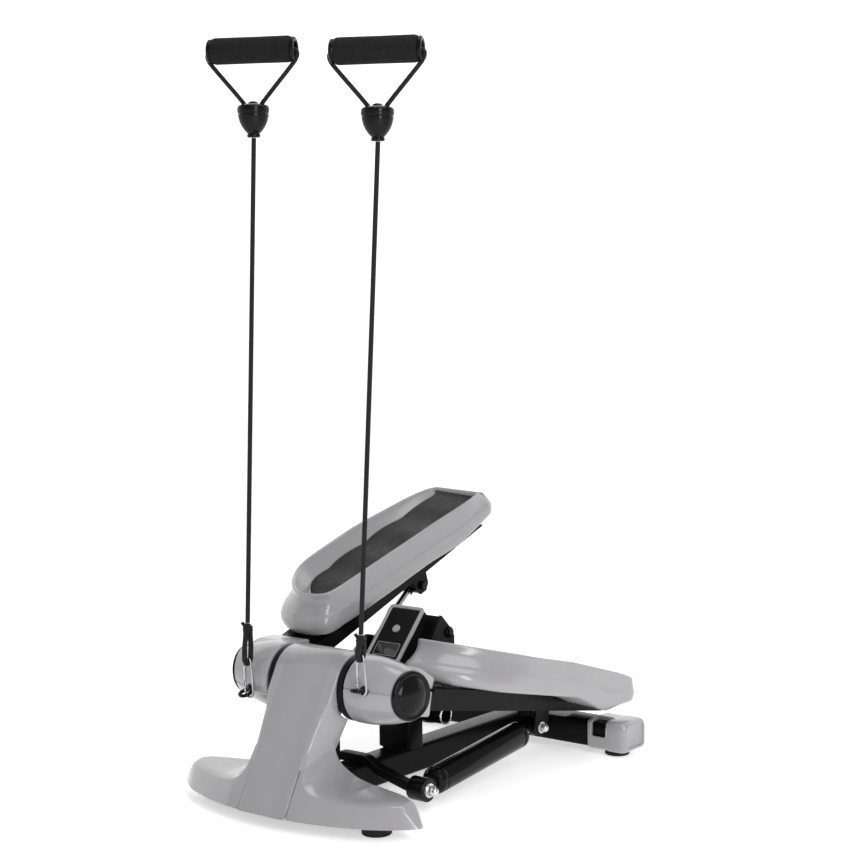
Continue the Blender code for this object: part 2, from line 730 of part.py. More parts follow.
def stacked(name, sign, levels, material, parent):
    """A solid from outlines one above another; its two ends are strips from toe to heel."""
    count = len(levels[0])
    points = [(sign * x, v, h) for level in levels for x, v, h in level]
    faces = []
    for row in range(len(levels) - 1):
        for i in range(count):
            j = (i + 1) % count
            low = row * count
            faces.append([low + i, low + j, low + count + j, low + count + i])
    for base in (0, len(points) - count):
        for i in range(count // 2 - 1):
            j = count - 1 - i
            faces.append([base + i, base + i + 1, base + j - 1, base + j])
    return add_mesh(name, points, faces, material, parent)


def make_tray(side, sign, frame, plastic, rubber):
    """The deep pedal tray with its recess, and the ribbed mat on its floor."""
    name = "footplate_" + side
    profile = ((0.0, -4.5, 14.0), (0.08, 0.0, 24.0), (0.20, 1.2, 26.5), (0.36, 1.1, 22.0))
    profile += ((0.55, 0.6, 9.0), (0.75, 0.0, 0.0), (0.95, 0.0, 0.0), (1.0, -1.2, 0.0))
    levels = []
    for share, grow, toe in profile:
        level = []
        for x, v in tray_outline(grow, grow, toe):
            low = tray_bottom(x, v)
            level.append((x, v, low + share * (tray_rim(x, v) - low)))
        levels.append(level)
    tray = stacked(name, sign, levels, plastic, frame)
    over = [(x, v, tray_rim(x, v) + 8.0) for x, v in tray_outline(-5.0, -5.0, 0.0)]
    lip = [(x, v, max(tray_rim(x, v) - 4.0, tray_floor(v) + 1.0)) for x, v in tray_outline(-6.5, -7.0, 0.0)]
    floor = [(x, v, tray_floor(v)) for x, v in tray_outline(-9.0, -19.0, 0.0)]
    pocket = stacked(name + "_recess", sign, [floor, lip, over], plastic, frame)
    under = [(v, arm_top(v) + 0.6) for v in (40.0, 110.0, 150.0, 232.0, 300.0, 335.0, 378.0, 430.0, 470.0, 484.0)]
    under += [(500.0, -25.0), (500.0, -60.0), (40.0, -60.0)]
    under_x = sorted((sign * (ARM_INNER_X - 1.0), sign * (ARM_OUTER_X + 1.0)))
    groove = prism(name + "_groove", under, under_x[0], under_x[1], along_x, plastic, frame)
    cut(tray, pocket, groove)
    outline = []
    for x, v in tray_outline(-9.6, -24.0, 0.0):
        wave = 3.0 * math.cos(2.0 * math.pi * (v - 260.0) / 88.0) if x > 120.0 else 0.0
        outline.append((x + wave, v))
    mat_levels = [[(x, v, tray_floor(v) + rise) for x, v in outline] for rise in (GAP, 2.8)]
    stacked("grip_mat_" + side, sign, mat_levels, rubber, frame)


def make_clevis(side, sign, frame, steel, chrome):
    """The bracket in the arm that takes the cylinder's rod end, and its bolt with a domed nut."""
    name = "cylinder_clevis_" + side
    low_h = CLEVIS_H - 12.0
    outline = [(CLEVIS_V - 17.0, -6.0), (CLEVIS_V + 17.0, -6.0), (CLEVIS_V + 15.0, low_h + 9.0)]
    outline += [(CLEVIS_V + 7.0, low_h), (CLEVIS_V - 7.0, low_h), (CLEVIS_V - 15.0, low_h + 9.0)]
    inner, outer = CYLINDER_X - 18.0, CYLINDER_X + 13.0
    ends = sorted((sign * inner, sign * outer))
    clevis = prism(name, outline, ends[0], ends[1], along_x, steel, frame)
    slot_x = sorted((sign * (inner + 3.5), sign * (outer - 3.5)))
    slot_low = (slot_x[0], CLEVIS_V - 30.0, low_h - 10.0)
    slot = box(name + "_slot", slot_low, (slot_x[1], CLEVIS_V + 30.0, -9.5), steel, frame)
    place = round_about_x(CLEVIS_V, CLEVIS_H)
    hole_ends = sorted((sign * (inner - 10.0), sign * (outer + 10.0)))
    hole = rod(name + "_hole", BOLT_RADIUS + GAP, hole_ends[0], hole_ends[1], place, steel, frame, steps=16)
    cut(clevis, slot, hole)
    profile = [(0.0, inner - 5.5), (6.5, inner - 5.5), (6.5, inner - GAP), (BOLT_RADIUS, inner - GAP)]
    profile += [(BOLT_RADIUS, outer + GAP), (8.4, outer + GAP), (8.4, outer + 2.0), (6.5, outer + 2.0)]
    profile += [(6.5, outer + 6.5), (4.8, outer + 7.5), (4.3, outer + 10.5), (0.0, outer + 12.0)]
    mirrored = [(radius, sign * run) for radius, run in profile]
    turned("clevis_bolt_" + side, mirrored, place, chrome, frame, steps=16)


# ---------------------------------------------------------------- damping cylinders


def cylinder_pose(tilt):
    """Angle and length of a damping cylinder, pivot to pivot, when its pedal is tilted so."""
    angle = math.radians(tilt)
    y = CLEVIS_V * math.cos(angle) - CLEVIS_H * math.sin(angle) - LOWER_PIVOT_Y
    z = AXIS_Z + CLEVIS_V * math.sin(angle) + CLEVIS_H * math.cos(angle) - LOWER_PIVOT_Z
    return math.degrees(math.atan2(z, y)), math.hypot(y, z)


def make_cylinder(side, sign, tilt, base, black, chrome):
    angle, length = cylinder_pose(tilt)
    place = (0.0, LOWER_PIVOT_Y, LOWER_PIVOT_Z)
    frame = add_empty("cylinder_pivot_" + side, place, angle, base)
    center_x = sign * CYLINDER_X
    along = round_about_y(center_x)
    profile = [(0.0, 24.0), (13.0, 24.0), (BARREL_RADIUS, 30.0), (BARREL_RADIUS, BARREL_END - 8.0)]
    profile += [(BARREL_RADIUS - 1.5, BARREL_END - 5.0), (12.0, BARREL_END - 4.0), (11.0, BARREL_END)]
    profile += [(ROD_RADIUS + GAP, BARREL_END), (ROD_RADIUS + GAP, 44.0), (0.0, 44.0)]
    barrel = turned("cylinder_barrel_" + side, profile, along, black, frame, steps=28)
    neck = rod("neck_" + side, 9.0, 8.0, 30.0, along, black, frame, steps=20)
    eye_ends = sorted((sign * (CYLINDER_X - 12.0), sign * (CYLINDER_X + 15.0)))
    eye = rod("lower_eye_" + side, 16.0, eye_ends[0], eye_ends[1], round_about_x(), black, frame)
    weld(barrel, neck, eye)
    stud_hole = rod("stud_hole_" + side, STUD_RADIUS + GAP, *stud_hole_ends(sign), round_about_x(), black, frame)
    cut(barrel, stud_hole)
    rod_frame = add_empty("rod_slide_" + side, (0.0, length, 0.0), 0.0, frame)
    shaft = rod("cylinder_rod_" + side, ROD_RADIUS, -208.0, -8.0, along, chrome, rod_frame, steps=20)
    eye_x = sorted((sign * (CYLINDER_X - 13.5), sign * (CYLINDER_X + 8.5)))
    rod_eye = rod("rod_eye_" + side, 12.5, eye_x[0], eye_x[1], round_about_x(), chrome, rod_frame)
    weld(shaft, rod_eye)
    hole_x = sorted((sign * (CYLINDER_X - 30.0), sign * (CYLINDER_X + 30.0)))
    hole_radius = BOLT_RADIUS + EYE_CLEARANCE
    cut(shaft, rod("rod_hole_" + side, hole_radius, hole_x[0], hole_x[1], round_about_x(), chrome, rod_frame))


def stud_hole_ends(sign):
    return sorted((sign * (CYLINDER_X - 30.0), sign * (CYLINDER_X + 30.0)))


# ---------------------------------------------------------------- counter


def make_counter(base, steel, black, grey, glass):
    """The counter on its bent bracket over the post, with panel, display and button."""
    frame = add_empty("counter_frame", (0.0, COUNTER_Y, COUNTER_Z), COUNTER_TILT, base)
    half = COUNTER_WIDTH / 2.0
    length = COUNTER_LENGTH
    side_view = [(2.0, -4.0), (5.0, -22.0), (14.0, -31.0), (42.0, -31.0), (50.0, -22.0)]
    side_view += [(length - 3.0, -22.0), (length - 2.0, -4.0)]
    case = prism("counter_case", side_view, -half + 2.0, half - 2.0, along_x, black, frame)
    add_bevel(case, 2.0, 1)
    bezel = box("counter_bezel", (-half, 0.0, -4.0 + GAP), (half, length, 0.0), grey, frame, bevel=1.2)
    opening_low = (-half + 5.0, 5.0, -10.0)
    opening = box("bezel_opening", opening_low, (half - 5.0, length - 5.0, 5.0), grey, frame)
    cut(bezel, opening)
    panel_low = (-half + 5.0 + GAP, 5.0 + GAP, -4.0 + GAP)
    panel_high = (half - 5.0 - GAP, length - 5.0 - GAP, -1.0)
    panel = box("counter_panel", panel_low, panel_high, black, frame)
    window_low = (-19.0, 10.0, -2.0)
    window = box("display_window", window_low, (19.0, 29.0, 3.0), black, frame)
    button_place = round_about_z(0.0, 52.5)
    hole = rod("button_hole", 5.6, -10.0, 5.0, button_place, black, frame)
    cut(panel, window, hole)
    display_low = (-19.0 + GAP, 10.0 + GAP, -2.0 + GAP)
    box("counter_display", display_low, (19.0 - GAP, 29.0 - GAP, -1.0), glass, frame)
    stroke_room = -4.0 + GAP + 1.2
    profile = [(0.0, stroke_room), (5.2, stroke_room), (5.2, 0.3), (4.6, 1.0), (0.0, 1.3)]
    turned("counter_button", profile, button_place, grey, frame)
    make_counter_bracket(base, frame, steel)


def make_counter_bracket(base, frame, steel):
    """Bent sheet: a floor on the post, two side flanges and a sloping web behind the counter."""
    half = 47.0
    side = [(138.0, 160.0), (215.0, 160.0), (219.0, 166.0), (219.0, 198.0), (214.0, 208.0), (191.0, 230.5)]
    side += [(188.0, 231.5), (166.0, 199.0), (166.0, 190.0), (138.0, 166.0)]
    bracket = prism("counter_bracket", side, -half, half, along_x, steel, base)
    hollow_low = (-half + 2.5, 120.0, 162.5)
    hollow = box("bracket_hollow", hollow_low, (half - 2.5, 240.0, 260.0), steel, base)
    cut(bracket, hollow)
    web = box("bracket_web", (-half + 0.5, 52.0, -24.8), (half - 0.5, COUNTER_LENGTH + 2.0, -22.3), steel, frame)
    weld(bracket, web)
    bolt_hole = rod("bracket_hole", 4.0, -60.0, 60.0, round_about_x(206.0, 205.0), steel, base, steps=16)
    cut(bracket, bolt_hole)


# ---------------------------------------------------------------- cords and handles


def make_handle(side, sign, tilt, rise, length, lean, base, parts):
    """Eye on the pivot housing, snap hook, looped cord, connector, strap and foam grip."""
    angle = math.radians(tilt)
    eye_y = EYE_V * math.cos(angle)
    eye_z = AXIS_Z + EYE_V * math.sin(angle)
    frame = add_empty("cord_pivot_" + side, (sign * EYE_X, eye_y, eye_z), 0.0, base)
    make_snap_hook(side, frame, parts["chrome"])
    make_cord_loop(side, rise, frame, parts["cord"])
    start = Vector((CORD_SIDE, 0.0, rise))
    direction = Vector((-CORD_SIDE, lean, length)).normalized()
    steps = 36
    route = [start + direction * (length * i / steps) for i in range(steps + 1)]
    make_cord("cord_" + side, route, CORD_RADIUS, parts["cord"], frame)
    top = start + direction * (length + 2.0 * GAP)
    make_connector(side, top, frame, parts["black"])
    make_strap_and_grip(side, top, frame, parts)


def make_eye(side, sign, frame, black):
    """A closed screw eye in the front of the pivot housing, its ring level with the pedal."""
    centers = []
    for step in range(20):
        angle = 2.0 * math.pi * step / 20.0
        centers.append((sign * EYE_X + EYE_RING * math.cos(angle), EYE_V + EYE_RING * math.sin(angle), 0.0))
    eye = closed_loft("cord_eye_" + side, wire_ring(centers, (0.0, 0.0, 1.0), EYE_WIRE, 8), black, frame)
    shank = rod("eye_shank_" + side, 3.0, EYE_V + EYE_RING, -30.0, round_about_y(sign * EYE_X), black, frame, 12)
    weld(eye, shank)
    for half in ("upper", "lower"):
        shell = bpy.data.objects[f"pivot_shell_{half}_{side}"]
        hole_name = f"eye_hole_{half}_{side}"
        place = round_about_y(sign * EYE_X)
        cut(shell, rod(hole_name, 3.0 + GAP, -60.0, -28.0, place, black, frame, 12))


def make_snap_hook(side, frame, chrome):
    """A pear-shaped wire hook that hangs in the eye."""
    outline = [(0.0, -3.0), (0.0, 8.0), (0.0, 20.0), (0.0, 32.0), (0.0, 42.0)]
    outline += arc_points((5.8, 42.0), 5.8, 150.0, 30.0, 5)
    outline += [(12.0, 38.0), (13.2, 26.0), (14.2, 12.0), (15.0, 0.0)]
    outline += arc_points((7.6, -4.0), 7.2, 10.0, -170.0, 8)
    centers = [(x, 0.0, z) for x, z in outline]
    closed_loft("snap_hook_" + side, wire_ring(centers, (0.0, 1.0, 0.0), HOOK_WIRE, 8), chrome, frame)


def arc_points(center, radius, start, end, count):
    points = []
    for step in range(count):
        angle = math.radians(start + (end - start) * step / (count - 1))
        points.append((center[0] + radius * math.cos(angle), center[1] + radius * math.sin(angle)))
    return points


def make_cord_loop(side, rise, frame, cord):
    """The cord's own end, turned back through the snap hook and knotted."""
    knot_low = rise - 17.0
    crown = rise - 12.0
    outline = arc_points((0.0, 47.0), 6.0, 180.0, 360.0, 9)
    outline += [(5.4, 47.0 + 0.35 * (crown - 47.0)), (4.2, 47.0 + 0.65 * (crown - 47.0))]
    outline += arc_points((0.0, crown - 3.0), 3.6, 20.0, 160.0, 5)
    outline += [(-4.2, 47.0 + 0.65 * (crown - 47.0)), (-5.4, 47.0 + 0.35 * (crown - 47.0))]
    centers = []
    for y, z in outline:
        climb = min(1.0, max(0.0, (z - 52.0) / (crown - 52.0)))
        centers.append((5.8 + (CORD_SIDE - 5.8) * climb, y, z))
    loop = closed_loft("cord_loop_" + side, wire_ring(centers, (1.0, 0.0, 0.0), CORD_RADIUS, 8), cord, frame)
    profile = [(0.0, knot_low), (5.0, knot_low + 1.5), (7.2, knot_low + 6.0), (7.2, knot_low + 11.0)]
    profile += [(5.0, knot_low + 15.5), (0.0, rise - GAP)]
    weld(loop, turned("knot_" + side, profile, round_about_z(CORD_SIDE), cord, frame, steps=14))


def make_connector(side, top, frame, black):
    """The bell-shaped connector between the cord and the strap."""
    profile = [(0.0, 0.0), (7.6, 0.0), (8.4, 2.0), (8.4, 5.0), (9.6, 7.0), (14.5, 14.0), (18.0, 22.0)]
    profile += [(19.3, 30.0), (19.3, 41.0), (17.5, 43.0), (7.0, 43.5), (5.5, 46.5), (0.0, 48.0)]
    place = round_about_z(top.x, top.y)
    turned("cord_connector_" + side, [(r, top.z + run) for r, run in profile], place, black, frame, steps=28)


def make_strap_and_grip(side, top, frame, parts):
    """The cord strap that runs up, through the grip's bore and back down, and the foam grip."""
    yaw = math.radians(GRIP_YAW)
    across = Vector((math.cos(yaw), math.sin(yaw), 0.0))
    up = Vector((0.0, 0.0, 1.0))
    center = top + up * HANDLE_RISE
    half = GRIP_LENGTH / 2.0
    bend = 9.0
    bottom = top + up * 45.9
    corner = math.degrees(math.atan2(HANDLE_RISE - 43.5 - bend, half - 11.0))
    outline = [(11.0, 0.0)]
    start = Vector((half - bend * 0.2, HANDLE_RISE - 45.4))
    arc = arc_points((start.x, start.y - bend), bend, corner - 90.0, 90.0, 8)
    lower = Vector(arc[0])
    for share in (0.25, 0.5, 0.75):
        outline.append(tuple(Vector((11.0, 0.0)).lerp(lower, share)))
    outline += arc + [(30.0, start.y), (15.0, start.y)]
    mirrored = [(-x, z) for x, z in reversed(outline)]
    route = [bottom + across * x + up * z for x, z in outline + [(0.0, start.y)] + mirrored]
    make_cord("strap_" + side, route, 3.0, parts["cord"], frame)

    def place(a, b, run):
        return center + across * run + Vector((-across.y, across.x, 0.0)) * a + up * b

    profile = [(GRIP_BORE, -half), (GRIP_RADIUS - 1.5, -half), (GRIP_RADIUS, 2.0 - half)]
    profile += [(GRIP_RADIUS, half - 2.0), (GRIP_RADIUS - 1.5, half), (GRIP_BORE, half)]
    turned("foam_grip_" + side, profile, place, parts["foam"], frame, steps=28)


def build():
    clear_scene()
    grey = make_material("grey_plastic", (0.36, 0.355, 0.36), 0.38)
    black_steel = make_material("black_steel", (0.012, 0.012, 0.013), 0.32)
    black = make_material("black_plastic", (0.014, 0.014, 0.015), 0.35)
    chrome = make_material("chrome", (0.75, 0.75, 0.76), 0.15, 1.0)
    rubber = make_material("rubber", (0.02, 0.02, 0.02), 0.8)
    mat = make_material("mat_rubber", (0.05, 0.05, 0.052), 0.7)
    foam = make_material("foam", (0.015, 0.015, 0.016), 0.9)
    cord = make_material("cord", (0.016, 0.016, 0.017), 0.7)
    glass = make_material("display_glass", (0.05, 0.055, 0.05), 0.1)
    base = add_empty("base_frame", (0.0, AXIS_Y, 0.0))
    make_floor_frame(base, black_steel, chrome, rubber, grey)
    make_middle_cover(base, grey)
    make_wing("left", -1.0, base, grey)
    make_wing("right", 1.0, base, grey)
    make_balance(base, black_steel, black)
    make_counter(base, black_steel, black, grey, glass)
    handle_parts = {"chrome": chrome, "cord": cord, "black": black, "foam": foam}
    for side, sign, tilt, rise, length, lean in SIDES:
        pedal = add_empty("pedal_pivot_" + side, (0.0, 0.0, AXIS_Z), tilt, base)
        make_arm(side, sign, pedal, black_steel)
        make_drum(side, sign, pedal, grey, black)
        make_tray(side, sign, pedal, grey, mat)
        make_clevis(side, sign, pedal, black_steel, chrome)
        make_cylinder(side, sign, tilt, base, black, chrome)
        make_eye(side, sign, pedal, black)
        make_handle(side, sign, tilt, rise, length, lean, base, handle_parts)


build()
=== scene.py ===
"""Looks for the mini stepper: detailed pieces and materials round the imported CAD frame.

Numbers in the shape functions are millimetres and degrees. Each place function turns them into
metres in the row frame: on the base, on a pedal, on a damping cylinder or on the counter.
"""

import json
import math

import bmesh
import bpy
from mathutils import Matrix, Vector


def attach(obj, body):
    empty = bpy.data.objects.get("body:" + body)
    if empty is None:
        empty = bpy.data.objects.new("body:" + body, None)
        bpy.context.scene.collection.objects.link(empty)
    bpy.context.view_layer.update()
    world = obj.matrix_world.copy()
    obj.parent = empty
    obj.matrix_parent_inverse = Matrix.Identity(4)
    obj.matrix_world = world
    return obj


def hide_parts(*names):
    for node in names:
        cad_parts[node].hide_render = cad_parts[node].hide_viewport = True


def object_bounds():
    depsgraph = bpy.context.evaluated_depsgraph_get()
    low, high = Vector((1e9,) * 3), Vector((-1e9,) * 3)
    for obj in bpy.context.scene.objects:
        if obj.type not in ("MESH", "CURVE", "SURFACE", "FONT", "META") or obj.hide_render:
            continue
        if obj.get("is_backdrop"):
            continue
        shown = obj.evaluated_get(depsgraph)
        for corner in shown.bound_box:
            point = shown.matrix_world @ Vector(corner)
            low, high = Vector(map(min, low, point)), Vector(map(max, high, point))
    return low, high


MM = 0.001
PEDAL_TILT = {"left": 20.4, "right": -11.2}
SIGN = {"left": -1, "right": 1}

# Cords: start height over the eye, length and lean back of each side
CORDS = {"left": (96, 643, 39), "right": (74, 623, 57)}
CORD_SIDE = 7.3
CORD_RADIUS = 3.2
LOOP_RADIUS = 3.5
CORD_POINTS = 37
EYE_X = 100
EYE_V = -54.5
GRIP_YAW = 26
HANDLE_RISE = 114
BELL_RISE = 43
KNOT_TURNS = 3
KNOT_STEPS = 72

# Damping cylinders
LOWER_PIVOT = (55, 28)
CLEVIS = (331, -45)
CYLINDER_X = 113

# Counter: the foot of its face on the base, its tilt and the button's place up the face
COUNTER_PLACE = (112, 176)
COUNTER_TILT = 47.2
BUTTON_V = 52.5

# Camera and floor: places in metres, the lens in millimetres; swing, pitch and roll in degrees
CAMERA_PLACE = (1.6319, -1.8423, 0.7227)
CAMERA_TURN = (38.231, 5.164, -0.715)
CAMERA_LENS = 78.74
CAMERA_REACH = 200
FLOOR_REACH = 70

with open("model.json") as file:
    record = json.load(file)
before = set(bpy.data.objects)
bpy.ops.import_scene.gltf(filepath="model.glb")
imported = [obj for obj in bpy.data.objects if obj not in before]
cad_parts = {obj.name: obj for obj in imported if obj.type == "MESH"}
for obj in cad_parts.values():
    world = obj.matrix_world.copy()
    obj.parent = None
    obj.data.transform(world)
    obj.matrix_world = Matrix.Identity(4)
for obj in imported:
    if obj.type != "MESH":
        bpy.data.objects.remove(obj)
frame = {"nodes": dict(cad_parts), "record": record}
cad_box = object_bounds()
joints = {joint["name"]: joint for joint in frame["record"]["behaviour"]["joints"]}
pivot = joints["left_pedal_pivot"]["pos_m"]
AXIS_Y = pivot[1] / MM
AXIS_Z = pivot[2] / MM


# ---- places


def on_base(x, y, z):
    return Vector((x, y + AXIS_Y, z)) * MM


def turned_place(y0, z0, tilt):
    """A place function for a frame at y0, z0 on the base, tilted about X."""
    cos, sin = math.cos(math.radians(tilt)), math.sin(math.radians(tilt))

    def place(x, v, h):
        return on_base(x, y0 + v * cos - h * sin, z0 + v * sin + h * cos)

    return place


def on_pedal(side):
    return turned_place(0, AXIS_Z, PEDAL_TILT[side])


def cylinder_pose(side):
    tilt = math.radians(PEDAL_TILT[side])
    v, h = CLEVIS
    y = v * math.cos(tilt) - h * math.sin(tilt) - LOWER_PIVOT[0]
    z = AXIS_Z + v * math.sin(tilt) + h * math.cos(tilt) - LOWER_PIVOT[1]
    return math.degrees(math.atan2(z, y)), math.hypot(y, z)


def on_cylinder(side):
    return turned_place(LOWER_PIVOT[0], LOWER_PIVOT[1], cylinder_pose(side)[0])


def on_counter():
    return turned_place(COUNTER_PLACE[0], COUNTER_PLACE[1], COUNTER_TILT)


def eye_place(side):
    tilt = math.radians(PEDAL_TILT[side])
    y = EYE_V * math.cos(tilt)
    z = AXIS_Z + EYE_V * math.sin(tilt)

    def place(x, v, h):
        return on_base(SIGN[side] * EYE_X + x, y + v, z + h)

    return place


# ---- camera and light


def look_matrix(position, azimuth, pitch, roll):
    """Azimuth 0 looks along +Y; positive azimuth swings the view towards -X."""
    cos = math.cos(pitch)
    forward = Vector((-math.sin(azimuth) * cos, math.cos(azimuth) * cos, -math.sin(pitch)))
    right = forward.cross(Vector((0, 0, 1))).normalized()
    up = right.cross(forward)
    side = right * math.cos(roll) + up * math.sin(roll)
    top = side.cross(forward)
    columns = Matrix((side, top, -forward)).transposed().to_4x4()
    return Matrix.Translation(position) @ columns


def add_object(name, data):
    obj = bpy.data.objects.new(name, data)
    bpy.context.scene.collection.objects.link(obj)
    return obj


def add_camera():
    data = bpy.data.cameras.new("studio_camera")
    data.sensor_width = 36
    data.lens = CAMERA_LENS
    data.clip_end = CAMERA_REACH
    camera = add_object("studio_camera", data)
    x, y, z = CAMERA_PLACE
    turns = [math.radians(turn) for turn in CAMERA_TURN]
    camera.matrix_world = look_matrix(Vector((x, AXIS_Y * MM + y, z)), *turns)
    bpy.context.scene.camera = camera


def add_light(name, place, target, size, power):
    data = bpy.data.lights.new(name, "AREA")
    data.shape = "RECTANGLE"
    data.size, data.size_y = size
    data.energy = power
    light = add_object(name, data)
    light.location = place
    light.rotation_euler = (Vector(target) - Vector(place)).to_track_quat("-Z", "Y").to_euler()


def add_studio():
    world = bpy.data.worlds.new("studio_air")
    bpy.context.scene.world = world
    world.use_nodes = True
    sky = world.node_tree.nodes["Background"]
    set_inputs(sky, Color=(1, 1, 1, 1), Strength=0.38)
    middle = (0, 0, 0.25)
    add_light("left_softbox", (-1.7, -1.5, 1.5), middle, (1.2, 1.6), 2.5)
    add_light("top_softbox", (0.3, 0.2, 2.4), middle, (1.6, 1.6), 21)
    add_light("right_softbox", (1.9, -1.2, 1.2), middle, (0.6, 1.8), 30)
    bpy.context.scene.view_settings.view_transform = "Standard"


def add_floor(material):
    """A wide sheet on the ground that curves up behind the machine."""
    rows = [(-FLOOR_REACH, 0)]
    for step in range(7):
        angle = math.radians(15 * step)
        rows.append((5 + 3 * math.sin(angle), 3 - 3 * math.cos(angle)))
    rows.append((8, 9))
    points = [Vector((x, y, z)) for y, z in rows for x in (-FLOOR_REACH, FLOOR_REACH)]
    faces = [(2 * i, 2 * i + 1, 2 * i + 3, 2 * i + 2) for i in range(len(rows) - 1)]
    mesh = make_mesh("floor", points, faces)
    mesh.shade_smooth()
    mesh.materials.append(material)
    obj = add_object("floor", mesh)
    obj.rotation_euler = (0, 0, math.radians(38))
    obj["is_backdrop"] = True


# ---- materials


def link(tree, source, target):
    tree.links.new(source, target)


def set_inputs(node, **inputs):
    for name, value in inputs.items():
        node.inputs[name.replace("_", " ")].default_value = value


def add_node(tree, kind, **inputs):
    node = tree.nodes.new(kind)
    set_inputs(node, **inputs)
    return node


def math_node(tree, operation, first, second=None):
    node = tree.nodes.new("ShaderNodeMath")
    node.operation = operation
    for socket, value in zip(node.inputs, (first, second)):
        if value is None:
            continue
        if isinstance(value, (int, float)):
            socket.default_value = value
        else:
            link(tree, value, socket)
    return node.outputs[0]


def shader_of(name, metallic=0, coat=0, specular=0.5):
    material = bpy.data.materials.new(name)
    material.use_nodes = True
    tree = material.node_tree
    shader = tree.nodes["Principled BSDF"]
    set_inputs(shader, Metallic=metallic, Coat_Weight=coat, Coat_Roughness=0.08)
    set_inputs(shader, Specular_IOR_Level=specular)
    return material, tree, shader


def coordinates(tree, kind="Object"):
    return tree.nodes.new("ShaderNodeTexCoord").outputs[kind]


def noise(tree, scale, detail=3):
    """Noise over the piece's own coordinates, in cycles per metre."""
    node = add_node(tree, "ShaderNodeTexNoise", Scale=scale, Detail=detail, Roughness=0.55)
    link(tree, coordinates(tree), node.inputs["Vector"])
    return node.outputs["Fac"]


def between_tones(tree, factor, dark, light):
    ramp = tree.nodes.new("ShaderNodeValToRGB")
    for element, position, tone in zip(ramp.color_ramp.elements, (0.3, 0.7), (dark, light)):
        element.position = position
        element.color = (*tone, 1)
    link(tree, factor, ramp.inputs["Fac"])
    return ramp.outputs["Color"]


def spread(tree, factor, low, high):
    node = add_node(tree, "ShaderNodeMapRange", From_Min=0.3, From_Max=0.7, To_Min=low, To_Max=high)
    link(tree, factor, node.inputs["Value"])
    return node.outputs["Result"]


def add_bump(tree, shader, height, strength, distance):
    bump = add_node(tree, "ShaderNodeBump", Strength=strength, Distance=distance * MM)
    link(tree, height, bump.inputs["Height"])
    link(tree, bump.outputs["Normal"], shader.inputs["Normal"])


def moulded(name, dark, light, rough, grain, bump, metallic=0, coat=0, specular=0.5):
    """Plastic, paint or metal: two close tones, wandering roughness and a fine grain."""
    material, tree, shader = shader_of(name, metallic, coat, specular)
    link(tree, between_tones(tree, noise(tree, 38, 4), dark, light), shader.inputs["Base Color"])
    link(tree, spread(tree, noise(tree, 90, 5), *rough), shader.inputs["Roughness"])
    add_bump(tree, shader, noise(tree, grain), *bump)
    return material


def braided(name, dark, light, turns, pitch):
    """A braided sleeve: two sets of strands cross along the cord's own UV map; its colour is painted shade,
    darker in the gaps between the strands.
    """
    material, tree, shader = shader_of(name, specular=0.25)
    uv = tree.nodes.new("ShaderNodeSeparateXYZ")
    link(tree, coordinates(tree, "UV"), uv.inputs[0])
    around = math_node(tree, "MULTIPLY", uv.outputs["X"], turns * 2 * math.pi)
    along = math_node(tree, "MULTIPLY", uv.outputs["Y"], 2 * math.pi / (pitch * MM))
    right = math_node(tree, "SINE", math_node(tree, "ADD", around, along))
    left = math_node(tree, "SINE", math_node(tree, "SUBTRACT", around, along))
    crossing = math_node(tree, "MULTIPLY", right, left)
    height = math_node(tree, "MULTIPLY", math_node(tree, "ADD", crossing, 1), 0.5)
    # painted shade: the colour follows the strands' height, dark in the gaps between them and lighter on
    # their tops
    link(tree, between_tones(tree, height, dark, light), shader.inputs["Base Color"])
    link(tree, spread(tree, noise(tree, 700), 0.62, 0.85), shader.inputs["Roughness"])
    set_inputs(shader, Sheen_Weight=0.06, Sheen_Roughness=0.4)
    add_bump(tree, shader, height, 0.7, 0.45)
    return material


def porous(name, dark, light, cell):
    """Closed-cell foam: small pits between soft bumps."""
    material, tree, shader = shader_of(name, specular=0.2)
    pits = add_node(tree, "ShaderNodeTexVoronoi", Scale=cell)
    link(tree, coordinates(tree), pits.inputs["Vector"])
    height = math_node(tree, "ADD", pits.outputs["Distance"], noise(tree, cell * 0.6, 4))
    link(tree, between_tones(tree, noise(tree, 160, 4), dark, light), shader.inputs["Base Color"])
    link(tree, spread(tree, noise(tree, 300), 0.78, 0.95), shader.inputs["Roughness"])
    add_bump(tree, shader, height, 0.35, 0.5)
    return material


def glass_window(name):
    """Near-black glossy plastic, like a display that is off."""
    material, tree, shader = shader_of(name, coat=1)
    color = between_tones(tree, noise(tree, 60), (0.004, 0.005, 0.0045), (0.007, 0.008, 0.0075))
    link(tree, color, shader.inputs["Base Color"])
    link(tree, spread(tree, noise(tree, 120), 0.06, 0.12), shader.inputs["Roughness"])
    return material


def floor_paper():
    """White studio paper that glows a little more towards the top of its bend."""
    material, tree, shader = shader_of("floor_paper", specular=0.2)
    color = between_tones(tree, noise(tree, 2), (0.86, 0.86, 0.86), (0.88, 0.88, 0.88))
    link(tree, color, shader.inputs["Base Color"])
    set_inputs(shader, Roughness=0.9, Emission_Color=(1, 1, 1, 1))
    place = tree.nodes.new("ShaderNodeSeparateXYZ")
    link(tree, tree.nodes.new("ShaderNodeNewGeometry").outputs["Position"], place.inputs[0])
    glow = add_node(tree, "ShaderNodeMapRange", From_Min=0, From_Max=0.6, To_Min=0.50, To_Max=0.75)
    link(tree, place.outputs["Z"], glow.inputs["Value"])
    link(tree, glow.outputs["Result"], shader.inputs["Emission Strength"])
    return material


